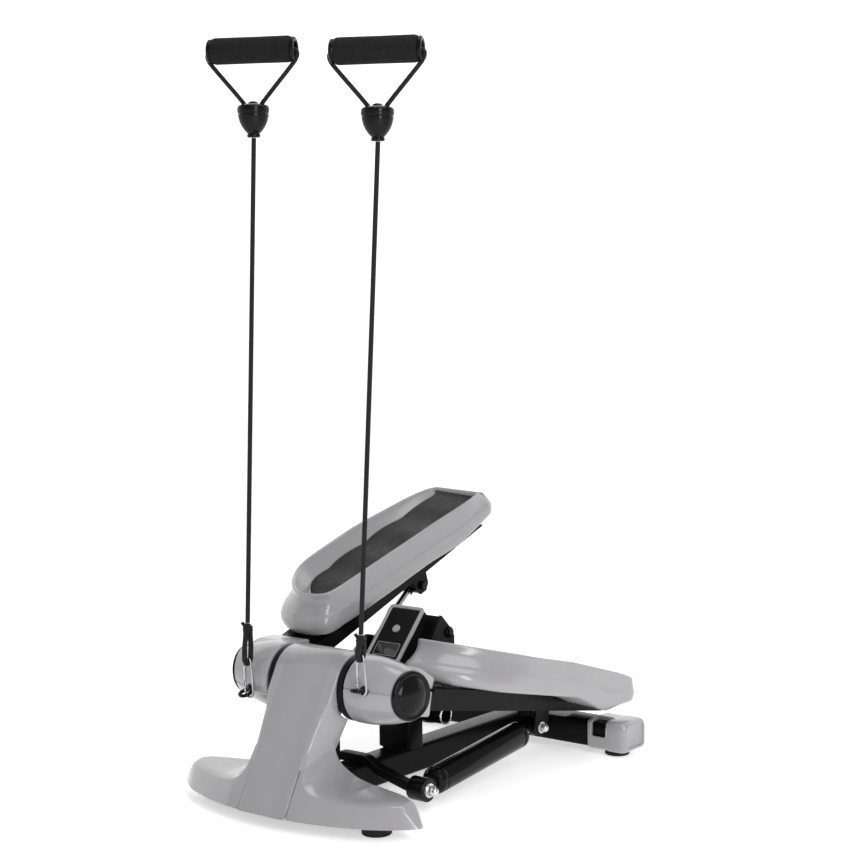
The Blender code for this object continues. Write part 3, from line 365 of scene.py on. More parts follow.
MOULDED = {
    # finish: material, slot, dark and light tones, roughness, grain per metre, bump and the rest
    "grey": ("moulded_grey", "grey_plastic", (0.300, 0.294, 0.304), (0.312, 0.306, 0.316),
             (0.16, 0.21), 2600, (0.01, 0.06), {"coat": 0.4}),
    "satin": ("satin_grey", "grey_plastic", (0.286, 0.280, 0.289), (0.296, 0.290, 0.299),
              (0.20, 0.25), 1200, (0.008, 0.05), {"coat": 0.2}),
    "tray": ("tray_grey", "grey_plastic", (0.298, 0.292, 0.300), (0.310, 0.304, 0.312),
             (0.22, 0.27), 2000, (0.01, 0.06), {"coat": 0.25}),
    "steel": ("black_paint", "black_steel", (0.0030, 0.0030, 0.0033), (0.0045, 0.0045, 0.0049),
              (0.22, 0.28), 900, (0.02, 0.10), {"specular": 0.08}),
    "gloss": ("black_gloss", "black_plastic", (0.0035, 0.0035, 0.0038), (0.0050, 0.0050, 0.0055),
              (0.12, 0.17), 1500, (0.01, 0.06), {"coat": 0.05, "specular": 0.14}),
    "dull": ("black_satin", "black_plastic", (0.0050, 0.0050, 0.0055), (0.0070, 0.0070, 0.0075),
             (0.34, 0.42), 2200, (0.06, 0.12), {"specular": 0.12}),
    "chrome": ("bright_plate", "bright_steel", (0.70, 0.70, 0.71), (0.80, 0.80, 0.81),
               (0.07, 0.16), 900, (0.03, 0.08), {"metallic": 1}),
    "zinc": ("zinc_plate", "bright_steel", (0.62, 0.62, 0.62), (0.74, 0.73, 0.72),
             (0.20, 0.34), 1600, (0.10, 0.15), {"metallic": 1}),
    "wire": ("hook_wire", "bright_steel", (0.34, 0.34, 0.35), (0.44, 0.44, 0.45),
             (0.12, 0.22), 1200, (0.03, 0.08), {"metallic": 1}),
    "rubber": ("foot_rubber", "rubber", (0.008, 0.008, 0.008), (0.014, 0.014, 0.014),
               (0.66, 0.82), 1400, (0.25, 0.3), {"specular": 0.3}),
    "mat": ("mat_rubber", "mat_rubber", (0.008, 0.008, 0.0085), (0.013, 0.013, 0.0135),
            (0.38, 0.50), 1500, (0.10, 0.15), {"specular": 0.11}),
}


def make_finishes():
    """Each finish: its material and the record's slot."""
    made = {}
    for finish, (name, slot, dark, light, rough, grain, bump, rest) in MOULDED.items():
        made[finish] = (moulded(name, dark, light, rough, grain, bump, **rest), slot)
    braid = braided("braided_sleeve", (0.0025, 0.0025, 0.003), (0.013, 0.013, 0.014), 5, 5)
    foam = porous("handle_foam", (0.0050, 0.0050, 0.0055), (0.0100, 0.0100, 0.0105), 1900)
    made["braid"] = (braid, "elastic_cord")
    made["foam"] = (foam, "foam")
    made["glass"] = (glass_window("display_window"), "display_glass")
    return made


finishes = make_finishes()


# ---- mesh helpers


def soft(points, radius, steps=4, closed=True):
    """The outline with each corner rounded; radius is one number or one per corner."""
    count = len(points)
    radii = radius if isinstance(radius, (list, tuple)) else [radius] * count
    made = []
    for i, corner in enumerate(points):
        corner = Vector(corner)
        if radii[i] <= 0 or (not closed and i in (0, count - 1)):
            made.append(tuple(corner))
            continue
        before = Vector(points[i - 1]) - corner
        after = Vector(points[(i + 1) % count]) - corner
        reach = min(radii[i], 0.48 * before.length, 0.48 * after.length)
        start = corner + before.normalized() * reach
        end = corner + after.normalized() * reach
        for step in range(steps + 1):
            t = step / steps
            made.append(tuple(start * (1 - t) ** 2 + corner * (2 * t * (1 - t)) + end * t**2))
    return made


def flow(points, per=6, closed=False):
    """A smooth line through the points."""
    points = [Vector(p) for p in points]
    count = len(points)
    spans = count if closed else count - 1
    made = []
    for i in range(spans):
        if closed:
            p0, p1, p2, p3 = (points[(i + k - 1) % count] for k in range(4))
        else:
            p1, p2 = points[i], points[i + 1]
            p0 = points[i - 1] if i else p1 * 2 - p2
            p3 = points[i + 2] if i + 2 < count else p2 * 2 - p1
        for step in range(per):
            t = step / per
            made.append(0.5 * (2 * p1 + (p2 - p0) * t + (2 * p0 - 5 * p1 + 4 * p2 - p3) * t**2
                               + (3 * p1 - 3 * p2 + p3 - p0) * t**3))
    if not closed:
        made.append(points[-1])
    return made


def between(value, table):
    """Straight-line reading from a table of (place, height) pairs."""
    if value <= table[0][0]:
        return table[0][1]
    for (a, low), (b, high) in zip(table, table[1:]):
        if value <= b:
            return low + (high - low) * (value - a) / (b - a)
    return table[-1][1]


def clamp(value):
    return min(max(value, 0), 1)


def ease(value):
    """A smooth step from 0 to 1."""
    share = clamp(value)
    return share * share * (3 - 2 * share)


def circle(radius, steps):
    angles = [2 * math.pi * step / steps for step in range(steps)]
    return [(radius * math.cos(angle), radius * math.sin(angle)) for angle in angles]


def rectangle(x0, v0, x1, v1, radius, steps=4):
    return soft([(x0, v0), (x1, v0), (x1, v1), (x0, v1)], radius, steps)


def make_mesh(name, points, faces):
    mesh = bpy.data.meshes.new(name)
    mesh.from_pydata([tuple(p) for p in points], [], faces)
    return mesh


def face_outwards(mesh):
    work = bmesh.new()
    work.from_mesh(mesh)
    bmesh.ops.recalc_face_normals(work, faces=work.faces)
    work.to_mesh(mesh)
    work.free()


def add_piece(name, points, faces, finish, body, covers=(), bevel=0, sharp=32, uvs=None):
    """A named piece on its body; faces that come with a UV map already point outwards."""
    material, slot = finishes[finish]
    mesh = make_mesh(name, points, faces)
    if uvs:
        layer = mesh.uv_layers.new(name="along")
        layer.data.foreach_set("uv", [value for uv in uvs for value in uv])
    else:
        face_outwards(mesh)
    mesh.materials.append(material)
    mesh.shade_smooth()
    obj = add_object(name, mesh)
    if bevel:
        add_bevel(obj, bevel)
    else:
        mesh.set_sharp_from_angle(angle=math.radians(sharp))
    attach(obj, body)
    if covers:
        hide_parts(*covers)
    return obj


def add_bevel(obj, width):
    modifier = obj.modifiers.new("soft_edges", "BEVEL")
    modifier.width = width * MM
    modifier.segments = 3
    modifier.limit_method = "ANGLE"
    modifier.angle_limit = math.radians(30)
    modifier.harden_normals = True


def grid_faces(rows, count, wrap=True):
    faces = []
    for row in range(rows - 1):
        for i in range(count if wrap else count - 1):
            j = (i + 1) % count
            faces.append((row * count + i, row * count + j, (row + 1) * count + j, (row + 1) * count + i))
    return faces


def loft(name, rings, finish, body, covers=(), ends="flat", **look):
    """A body through rings of equally many points; its ends are flat, joined up or made of strips."""
    count = len(rings[0])
    points = [p for ring in rings for p in ring]
    faces = grid_faces(len(rings), count)
    last = len(points) - count
    if ends == "flat":
        faces += [tuple(range(count)), tuple(range(last, last + count))]
    elif ends == "joined":
        faces += [(last + i, last + (i + 1) % count, (i + 1) % count, i) for i in range(count)]
    else:
        for start in (0, last):
            for i in range(count // 2 - 1):
                j = count - 1 - i
                faces.append((start + i, start + i + 1, start + j - 1, start + j))
    return add_piece(name, points, faces, finish, body, covers, **look)


def prism(name, outline, low, high, place, finish, body, covers=(), **look):
    """An outline in (v, h) pulled along x from low to high."""
    rings = [[place(x, v, h) for v, h in outline] for x in (low, high)]
    return loft(name, rings, finish, body, covers, **look)


def turned(name, profile, place, finish, body, covers=(), steps=48, **look):
    """A profile of (radius, run) turned about its run; place takes (a, b, run)."""
    points = []
    rows = []
    for radius, run in profile:
        if radius < 1e-6:
            rows.append([len(points)] * steps)
            points.append(place(0, 0, run))
            continue
        rows.append(list(range(len(points), len(points) + steps)))
        points += [place(a, b, run) for a, b in circle(radius, steps)]
    faces = []
    for low, high in zip(rows, rows[1:]):
        for i in range(steps):
            j = (i + 1) % steps
            face = [low[i], low[j], high[j], high[i]]
            faces.append(tuple(index for k, index in enumerate(face) if index != face[k - 1]))
    for end in (0, -1):
        if profile[end][0] > 1e-6:
            faces.append(tuple(rows[end]))
    return add_piece(name, points, faces, finish, body, covers, **look)


def ring_turned(name, profile, place, finish, body, covers=(), steps=48, **look):
    """A closed ring whose section, in (radius, run), goes round and meets itself."""
    rings = [[place(r * a, r * b, run) for r, run in profile] for a, b in circle(1, steps)]
    return loft(name, rings, finish, body, covers, ends="joined", **look)


def tube(name, route, radius, finish, body, covers=(), sides=14, closed=False):
    """A round tube along a route in metres, with its length in metres along V."""
    route = [Vector(p) for p in route]
    count = len(route)
    tangents = []
    for i in range(count):
        before = route[i - 1] if i or closed else route[0]
        after = route[(i + 1) % count] if i < count - 1 or closed else route[-1]
        tangents.append((after - before).normalized())
    normal = tangents[0].cross(Vector((0.31, 0.83, 0.46))).normalized()
    points = []
    reach = [0]
    for i, center in enumerate(route):
        normal = (normal - tangents[i] * normal.dot(tangents[i])).normalized()
        side = tangents[i].cross(normal)
        wide = (radius(i / (count - 1)) if callable(radius) else radius) * MM
        for step in range(sides):
            angle = 2 * math.pi * step / sides
            points.append(center + normal * (wide * math.cos(angle)) + side * (wide * math.sin(angle)))
        if i:
            reach.append(reach[-1] + (center - route[i - 1]).length)
    faces = []
    uvs = []
    rows = count if closed else count - 1
    for i in range(rows):
        nxt = (i + 1) % count
        far = reach[i] + (route[nxt] - route[i]).length
        for step in range(sides):
            j = (step + 1) % sides
            faces.append((i * sides + step, i * sides + j, nxt * sides + j, nxt * sides + step))
            u, w = step / sides, (step + 1) / sides
            uvs += [(u, reach[i]), (w, reach[i]), (w, far), (u, far)]
    if not closed:
        faces.append(tuple(reversed(range(sides))))
        faces.append(tuple(range((count - 1) * sides, count * sides)))
        uvs += [(0, 0)] * (2 * sides)
    return add_piece(name, points, faces, finish, body, covers, sharp=50, uvs=uvs)


def carve(obj, rings):
    """Cuts a lofted space out of a piece."""
    count = len(rings[0])
    points = [p for ring in rings for p in ring]
    faces = grid_faces(len(rings), count)
    faces += [tuple(range(count)), tuple(range(len(points) - count, len(points)))]
    mesh = make_mesh("space", points, faces)
    face_outwards(mesh)
    cutter = add_object("space", mesh)
    modifier = obj.modifiers.new("space", "BOOLEAN")
    modifier.operation = "DIFFERENCE"
    modifier.solver = "EXACT"
    modifier.object = cutter
    graph = bpy.context.evaluated_depsgraph_get()
    made = bpy.data.meshes.new_from_object(obj.evaluated_get(graph))
    obj.modifiers.clear()
    obj.data = made
    bpy.data.objects.remove(cutter, do_unlink=True)
    made.set_sharp_from_angle(angle=math.radians(32))


def block(low, high, place):
    """Rings of a plain block, for carve."""
    (x0, v0, h0), (x1, v1, h1) = low, high
    return [[place(x, v, h) for v, h in ((v0, h0), (v1, h0), (v1, h1), (v0, h1))] for x in (x0, x1)]


def end_insets(low, high, radius):
    """Stations along x with the inset of a rounded end at each."""
    steps = 3
    stations = []
    for step in range(steps + 1):
        angle = math.pi / 2 * step / steps
        inset = radius * (1 - math.cos(math.pi / 2 - angle))
        stations.append((low + radius * (1 - math.sin(angle)), inset))
    mirrored = [(low + high - x, inset) for x, inset in reversed(stations)]
    return stations + mirrored


def bar(name, low, high, radius, place, finish, body, covers=()):
    """A bar between two corners in (x, v, h), rounded in its section and at both ends."""
    (x0, v0, h0), (x1, v1, h1) = low, high
    rings = []
    for x, inset in end_insets(x0, x1, radius):
        corner = max(radius - inset, 0.05) * 1.3
        outline = rectangle(v0 + inset, h0 + inset, v1 - inset, h1 - inset, corner)
        rings.append([place(x, v, h) for v, h in outline])
    return loft(name, rings, finish, body, covers, sharp=40)


def across(place, x, v, h, sign=1):
    """Place for a turned piece whose run is along x from a centre at (x, v, h)."""
    return lambda a, b, run: place(x + sign * run, v + a, h + b)


def along(place, x, v, h):
    """Place for a turned piece whose run is along v."""
    return lambda a, b, run: place(x + a, v + run, h + b)


def upright(place, x, v, h):
    """Place for a turned piece whose run is along h."""
    return lambda a, b, run: place(x + a, v + b, h + run)


def paint(finish, *nodes):
    """Gives CAD nodes that stay a better material."""
    for node in nodes:
        data = frame["nodes"][node].data
        for index in range(len(data.materials)):
            data.materials[index] = finishes[finish][0]
        if not data.materials:
            data.materials.append(finishes[finish][0])


# ---- cords and handles


def cord_line(side):
    """Start, direction and length of a hand cord, in its eye's frame."""
    rise, length, lean = CORDS[side]
    return Vector((CORD_SIDE, 0, rise)), Vector((-CORD_SIDE, lean, length)).normalized(), length


def make_cord(side):
    place = eye_place(side)
    start, direction, length = cord_line(side)
    steps = CORD_POINTS - 1
    route = [place(*(start + direction * (length * i / steps))) for i in range(CORD_POINTS)]
    name = "hand_cord_" + side
    obj = tube(name, route, CORD_RADIUS, "braid", side + "_cord", ["cord_" + side])
    tuple(route[0])


def make_loop(side):
    """The cord's own end, doubled through the snap hook, with a wrapped knot and a short tail."""
    place = eye_place(side)
    rise = CORDS[side][0]
    low = rise - 17
    half = [(4.3, low + 3), (5.2, low - 8), (6.1, 0.5 * (low + 47)), (6, 52), (5.4, 46), (3.2, 42.3)]
    outline = [(-v, h) for v, h in half] + [(0, 41)] + half[::-1]
    route = []
    for point in flow([(v, h, 0) for v, h in outline], 5):
        climb = clamp((point.y - 50) / (low - 50))
        route.append(place(5.8 + (CORD_SIDE - 5.8) * climb, point.x, point.y))
    loop = tube("loop_" + side, route, LOOP_RADIUS, "braid", side + "_cord", ["cord_loop_" + side])
    wraps = []
    for step in range(KNOT_STEPS + 1):
        angle = math.radians(360 * KNOT_TURNS * step / KNOT_STEPS)
        climb = low + 2.6 + 11.6 * step / KNOT_STEPS
        swell = 4.2 + 0.5 * math.sin(math.pi * step / KNOT_STEPS)
        wraps.append(place(CORD_SIDE + swell * math.cos(angle), swell * math.sin(angle), climb))
    tail = [place(CORD_SIDE - 4.2, -3.6, low + 14.6), place(CORD_SIDE - 6, -4.6, low + 18)]
    knot = tube("knot_" + side, wraps + tail, 2.5, "braid", side + "_cord", sides=10)
    return loop, knot


def make_hook(side):
    """A pear-shaped snap hook: the wire body, its straight gate and the gate's pin."""
    place = eye_place(side)
    body = [(0.6, 3), (0.2, 10), (0, 20), (0, 34), (0.6, 42.5), (3, 46.6), (6.2, 47.8)]
    body += [(9.4, 46.2), (11.3, 42), (12, 38), (13.2, 26), (14.2, 12), (14.8, 4)]
    body += [(14, -0.6), (11.4, -3.8), (7.6, -4.7), (3.9, -3.9), (1.6, -1.2)]
    route = [place(x, 0, h) for x, h, _ in flow([(x, h, 0) for x, h in body], 5, closed=True)]
    hook = tube("hook_" + side, route, 1.5, "wire", side + "_cord", ["snap_hook_" + side],
                sides=12, closed=True)
    profile = [(0, 6), (1.6, 6), (2.3, 7), (2.3, 12), (1.9, 13), (1.9, 33), (2.5, 34)]
    profile += [(2.5, 38.5), (1.8, 40), (0, 40)]
    gate = turned("gate_" + side, profile, upright(place, 0.05, 0, 0), "wire", side + "_cord", steps=18)
    return hook, gate


def make_eye(side):
    """The black screw eye in the front of the pivot housing, with a thick lug."""
    place = on_pedal(side)
    center_x = SIGN[side] * EYE_X
    route = [place(center_x + a, EYE_V + b, 0) for a, b in circle(7.5, 40)]
    tube("eye_" + side, route, 2.5, "gloss", side + "_pedal", ["cord_eye_" + side], sides=14, closed=True)
    lug = [(0, EYE_V + 6), (3, EYE_V + 6.6), (3.2, -44), (6.4, -43.6), (7.2, -41), (7.2, -38)]
    profile = soft(lug, [0, 1, 1, 1, 0.8, 0], closed=False) + [(0, -36)]
    turned("eye_collar_" + side, profile, along(place, center_x, 0, 0), "gloss", side + "_pedal",
           steps=32)


def make_connector(side, top):
    """The bell between the cord and the strap: a ribbed neck, a bell and a domed lid."""
    place = eye_place(side)
    profile = [(0, 0), (7.4, 0), (8.8, 1.2), (9, 3.6), (7.8, 5.2), (9.6, 6.8), (12, 9.4)]
    profile += [(15.6, 14.6), (18.4, 20.4), (20.2, 27), (20.6, 30.2), (20.1, 30.9), (20.1, 31.7)]
    profile += [(21.1, 32.4), (21.2, 39.4), (19.6, 42), (15, 43.6), (8.4, 44.2), (7, 45)]
    profile += [(6, 46.6), (3.4, 47.6), (0, 48)]
    smooth = soft(profile, 0.8, 3, closed=False)
    center = upright(place, top.x, top.y, top.z)
    shell = turned("bell_" + side, smooth, center, "gloss", side + "_cord",
                   ["cord_connector_" + side], steps=56)
    band = soft([(20.4, 34.6), (21.35, 35), (21.35, 36.6), (20.4, 37)], 0.4, 3)
    ring = ring_turned("bell_band_" + side, band, center, "dull", side + "_cord", steps=56)
    return shell, ring


def handle_frame(side):
    """Top of the cord, the direction along the grip and the grip's centre, in the eye's frame."""
    start, direction, length = cord_line(side)
    top = start + direction * (length + 0.6)
    yaw = math.radians(GRIP_YAW)
    across_grip = Vector((math.cos(yaw), math.sin(yaw), 0))
    return top, across_grip, top + Vector((0, 0, HANDLE_RISE))


def make_strap(side):
    """The strap cord: up from the bell to one end of the grip, through it and down again."""
    place = eye_place(side)
    top, run, _ = handle_frame(side)
    bottom = top + Vector((0, 0, BELL_RISE))
    low = HANDLE_RISE - BELL_RISE
    half = [(11, 0), (25, low * 0.235), (39.5, low * 0.47), (53.5, low * 0.70)]
    half += [(59.4, low * 0.81), (61.6, low * 0.89), (60.6, low - 2.8), (55, low - 0.5)]
    half += [(38, low), (18, low)]
    line = half + [(0, low)] + [(-x, h) for x, h in reversed(half)]
    route = []
    for point in flow([(x, h, 0) for x, h in line], 6):
        route.append(place(*(bottom + run * point.x + Vector((0, 0, point.y)))))
    tube("handle_strap_" + side, route, 3, "braid", side + "_cord", ["strap_" + side])


def make_grip(side):
    """Foam sleeve with glossy ringed plugs in both ends."""
    place = eye_place(side)
    _, run, center = handle_frame(side)
    turn = Vector((-run.y, run.x, 0))

    def put(a, b, distance):
        return place(*(center + run * distance + turn * a + Vector((0, 0, b))))

    half = [(17.4, 22), (17.5, 49.6), (16.6, 53), (14.4, 54.6), (9.4, 54.6)]
    foam = [(radius, -distance) for radius, distance in reversed(half)] + [(17.3, 0)] + half
    ring_turned("foam_" + side, foam, put, "foam", side + "_grip", ["foam_grip_" + side], steps=64)
    for end, sign in (("inner", -1), ("outer", 1)):
        plug = [(9.6, 53.8), (14, 53.8), (14.6, 55.2), (15.8, 55.6), (16.1, 56.6), (15.9, 58.2)]
        plug += [(15, 59.2), (13.8, 59.8), (12, 59.9), (10.4, 59.2), (9.6, 57.4)]
        section = [(radius, sign * distance) for radius, distance in plug]
        ring_turned(f"grip_plug_{end}_{side}", section, put, "gloss", side + "_grip", steps=64)


def make_handles():
    for side in SIGN:
        top, _, _ = handle_frame(side)
        pieces = [*make_loop(side), *make_hook(side), *make_connector(side, top)]
        make_strap(side)
        make_cord(side)
        make_grip(side)
        make_eye(side)


# ---- front covers

HOOD_RADIUS = 46
FACE_FOOT = -132
FACE_SLOPE = 1.842
COLUMN_HALF = [(18, 40.7), (74.9, 40.7), (75.6, 45), (95, 46), (139, 50), (158, 54.6)]
COLUMN_HALF += [(160, 55)]
COLUMN_ROUND = [(18, 5), (60, 6), (139, 6), (160, 3), (213, 2)]


def face_y(z):
    return FACE_FOOT + (z - 20) / FACE_SLOPE


def column_rows():
    """Front and back of the column and hood at rising heights."""
    levels = [18, 30, 45, 60, 74.9, 75.6, 80, 87, 95, 104, 112, 120, 127]
    levels += [133, 139, 145, 152, 156, 160, 167, 175, 182, 188.5]
    rows = []
    for z in levels:
        chord = math.sqrt(max(HOOD_RADIUS**2 - (z - AXIS_Z) ** 2, 0))
        back = chord if z >= 133 else -8 - (127 - z) * 0.62
        if z < 100:
            back = max(back, face_y(z) + 40)
        rows.append((face_y(z), back, z))
    for degrees in (32, 37, 42, 47, 52, 57, 62, 67, 72, 77, 82, 86, 89):
        angle = math.radians(degrees)
        rows.append((-HOOD_RADIUS * math.cos(angle), HOOD_RADIUS * math.cos(angle),
                     AXIS_Z + HOOD_RADIUS * math.sin(angle)))
    return rows


def make_column():
    """The leaning column and round hood, with rounded ends, hollow inside and open at the back."""
    rows = column_rows()
    outline = [Vector((front, z)) for front, _, z in rows]
    outline += [Vector((back, z)) for _, back, z in reversed(rows)]
    count = len(outline)
    rings = []
    for sign, turns in ((-1, (90, 67, 45, 22, 0)), (1, (0, 22, 45, 67, 90))):
        for turn in turns:
            ring = []
            for i, point in enumerate(outline):
                along_edge = (outline[(i + 1) % count] - outline[i - 1]).normalized()
                inward = Vector((along_edge.y, -along_edge.x))
                reach = between(point.y, COLUMN_ROUND)
                inset = reach * (1 - math.cos(math.radians(turn)))
                x = between(point.y, COLUMN_HALF) - reach * (1 - math.sin(math.radians(turn)))
                moved = point + inward * inset
                ring.append(on_base(sign * x, moved.x, moved.y))
            rings.append(ring)
    cover = loft("column_cover", rings, "grey", "base", ["front_cover_middle"], ends="strips")
    spaces = []
    for z in (10, 74.5, 77.5, 95, 120, 141, 142, 165, 178):
        half = between(z - 1, COLUMN_HALF) - 3
        front = face_y(z) + 3.45
        back = 90 if z < 141.5 else 0
        corners = ((-half, front), (half, front), (half, back), (-half, back))
        spaces.append([on_base(x, y, z) for x, y in corners])
    carve(cover, spaces)
    hollow = circle(HOOD_RADIUS - 3, 48)
    carve(cover, [[on_base(x, a, AXIS_Z + b) for a, b in hollow] for x in (-53, 53)])
    carve(cover, block((-60, -74, 8), (60, -20, 38.5), on_base))
    make_column_panel()


def make_column_panel():
    """The satin front panel, from the foot up the column and over the hood."""
    slope = Vector((-FACE_SLOPE, 1)).normalized()
    levels = (18.6, 40, 75, 110, 140, 165, 182)
    path = [(Vector((face_y(z), z)), slope) for z in levels]
    for step in range(25):
        angle = math.radians(30 + 130 * step / 24)
        normal = Vector((-math.cos(angle), math.sin(angle)))
        path.append((Vector((0, AXIS_Z)) + normal * HOOD_RADIUS, normal))
    half = [(40.2, -1.6), (40.2, -0.3), (39.9, 0.1), (39.3, 0.28)]
    section = [(-x, rise) for x, rise in half] + [(0, 0.28)] + half[::-1]
    rings = []
    for point, normal in path:
        ring = []
        for x, rise in section:
            moved = point + normal * rise
            ring.append(on_base(x, moved.x, moved.y))
        rings.append(ring)
    loft("column_panel", rings, "satin", "base")


WING_STATIONS = (
    # x, foot of the face, crease y, crease z, rear top z, rear y
    (41.9, -131, -85.5, 102, 104, -38),
    (45.2, -130.7, -88, 98, 102, -37.5),
    (47.6, -130.4, -99.2, 78, 92, -36.5),
    (50.6, -130.1, -104.6, 68, 84, -35.5),
    (56, -129.4, -108.6, 59.5, 75, -33.5),
    (66, -128, -110.2, 53, 66, -30),
    (80, -125.4, -108.4, 49, 58, -27),
    (98, -121, -104.6, 46.5, 52.5, -24),
)
WING_FACETS = (
    (108, -118.4, -102, 46, 51.5, -24.5),
    (151, -102.5, -86.5, 45.5, 50, -32),
    (169, -92, -77, 46, 50, -38.5),
    (182, -82, -70, 45.5, 48.5, -44),
    (192, -73.5, -66.5, 36, 37.5, -47.5),
    (204, -62, -61, 20, 20.5, -53),
)


def make_wing(side):
    """A low side cover, swept back: a fillet up the column, then flat facets, open underneath."""
    sign = SIGN[side]
    rings = []
    stations = flow(WING_STATIONS, 6) + [Vector(row) for row in WING_FACETS]
    for x, foot, crease_y, crease_z, top, rear in stations:
        shoulder = crease_y + between(x, [(185, 9), (197, 3)])
        outline = [(foot, 18), (crease_y - 0.6, crease_z - 2), (shoulder, crease_z + 1.2)]
        outline += [(rear - 5, top), (rear, top - 4), (rear, 18)]
        if x > 185:
            outline[3] = (rear - 3, top)
            outline[4] = (rear, top - 1)
        smooth = soft(outline, [0.8, 2.6, 7, 4, 3, 0.8], 5)
        rings.append([on_base(sign * x, y, z) for y, z in smooth])
    wing = loft("wing_cover_" + side, rings, "grey", "base", ["front_cover_" + side], sharp=7)
    space = []
    for x, foot, crease_y, crease_z, top, rear in WING_STATIONS + WING_FACETS[:3]:
        inner = 36 if x < 45 else x
        pocket = [(foot + 4, 10), (crease_y + 3.5, crease_z - 5)]
        pocket += [(rear - 5, top - 6), (rear - 3, 10)]
        space.append([on_base(sign * inner, y, z) for y, z in pocket])
    carve(wing, space)


# ---- pivot housings

DRUM_INNER = 64.5
DRUM_OUTER = 142
DRUM_SKEW = math.radians(10)


def drum_angles():
    """Angles round the housing, with a narrow groove at each half's joint, as (angle, depth)."""
    made = []
    for middle in (0, 180):
        made += [(middle - 1.5, 0), (middle - 0.8, 0.9), (middle + 0.8, 0.9), (middle + 1.5, 0)]
        made += [(middle + 5 * step, 0) for step in range(1, 36)]
    return made


def make_drum(side):
    """The tapered housing round the hub, its collar over the arm and the ring in the gap."""
    place = on_pedal(side)
    sign = SIGN[side]
    body = side + "_pedal"
    taper = flow([(0, 0), (0.35, 0.05), (0.70, 0.45), (1, 1)], 6)
    stations = [(0.035, -4), (0.037, -1.6), (0.045, -0.6), (0.06, -0.1), (0.08, 0)]
    rings = []
    for run, extra in stations + [(point.x, 0) for point in taper if point.x > 0.1]:
        share = between(run, [(point.x, point.y) for point in taper])
        radius = 45 - 11.5 * share + extra
        skew = DRUM_SKEW * run
        ring = []
        for degrees, depth in drum_angles():
            angle = math.radians(degrees)
            a = (radius - depth) * math.cos(angle)
            b = (radius - depth) * math.sin(angle)
            x = DRUM_INNER + (DRUM_OUTER - DRUM_INNER) * run + a * math.sin(skew)
            ring.append(place(sign * x, a * math.cos(skew), b))
        rings.append(ring)
    loft("pivot_housing_" + side, rings, "grey", body,
         ["pivot_shell_upper_" + side, "pivot_shell_lower_" + side])
    outline = [(0, 38), (30, 33.5), (58.5, 22.5), (56, 14), (56, -28), (34, -28.5)]
    outline += [(0, -34)]
    ends = sorted((sign * 71, sign * 135))
    prism("arm_collar_" + side, soft(outline, 4), ends[0], ends[1], place, "grey", body, bevel=2.6)
    section = rectangle(34, 55.4, 43.8, 64.2, 0.6)
    ring_turned("gap_ring_" + side, section, across(place, 0, 0, 0, sign), "dull", body)
    make_pivot_cap(side, sign, place, body)


def make_pivot_cap(side, sign, place, body):
    """Glossy cap on the housing's skewed end: a stepped rim round a shallow dome."""

    def put(a, b, run):
        depth = run + 0.3
        x = DRUM_OUTER + depth * math.cos(DRUM_SKEW) + a * math.sin(DRUM_SKEW)
        return place(sign * x, a * math.cos(DRUM_SKEW) - depth * math.sin(DRUM_SKEW), b)

    rim = [(0, 0), (31.4, 0), (32.4, 1.2), (32.3, 3.4), (31, 5.2), (28.8, 6), (27.4, 5)]
    turns = [math.radians(degrees) for degrees in range(66, 0, -6)]
    dome = [(26.6 * math.sin(turn), 1 + 10.6 * math.cos(turn)) for turn in turns]
    radii = [0, 0.8, 1, 1.4, 1.4, 0.8, 0.4]
    profile = soft(rim + [(25.2, 5)], radii + [0.3], 3, closed=False) + dome + [(0, 11.6)]
    turned("pivot_cap_cover_" + side, profile, put, "gloss", body, ["pivot_cap_" + side], steps=64)


# ---- pedal trays

TRAY_PAIRS = (
    # the rim from above: inner x and v, outer x and v, from the toe to the heel
    (80, 98.5, 96, 98),
    (69, 102, 112, 100.5),
    (61.5, 109, 128, 109),
    (58, 121, 143, 121.5),
    (57, 140, 157, 138),
    (57, 157, 168, 155),
    (57, 175, 177, 173),
    (57, 197, 183, 195),
    (57, 225, 186, 225),
    (57, 260, 186.5, 260),
    (57, 300, 187, 300),
    (57, 340, 187, 340),
    (57, 380, 185, 380),
    (57, 415, 183, 412),
    (57, 442, 181.5, 440),
    (57, 464, 180, 464),
    (58, 479, 178, 482),
    (62, 487, 171, 494),
    (71, 490, 152, 497.5),
)

# Heights along the tray, as (v, h)
INNER_RIM = [(68, 70), (117, 67.5), (176, 63.5), (264, 57.5), (363, 51), (439, 44.5)]
INNER_RIM += [(490, 37)]
OUTER_RIM = [(100, 67), (150, 62.5), (190, 60.5), (245, 57.5), (305, 54.5), (354, 49.5)]
OUTER_RIM += [(378, 47), (428, 42), (460, 38), (490, 33)]
UNDER_FRONT = [(68, 15), (110, 12.5), (150, 10)]
INNER_UNDER = UNDER_FRONT + [(243, 4.5), (317, 1.5), (367, -4), (392, -7), (420, -5)]
INNER_UNDER += [(490, 2)]
OUTER_UNDER = UNDER_FRONT + [(232, 8), (328, 5), (362, -3), (393, -12.5)]
OUTER_UNDER += [(414, -14.5), (446, -7), (495, 1)]
ARM_TOP = [(10, 8), (110, 8), (150, 7), (232, 5), (300, 3), (335, 1)]
ARM_TOP += [(378, -4.5), (430, -8), (470, -13), (481, -19)]
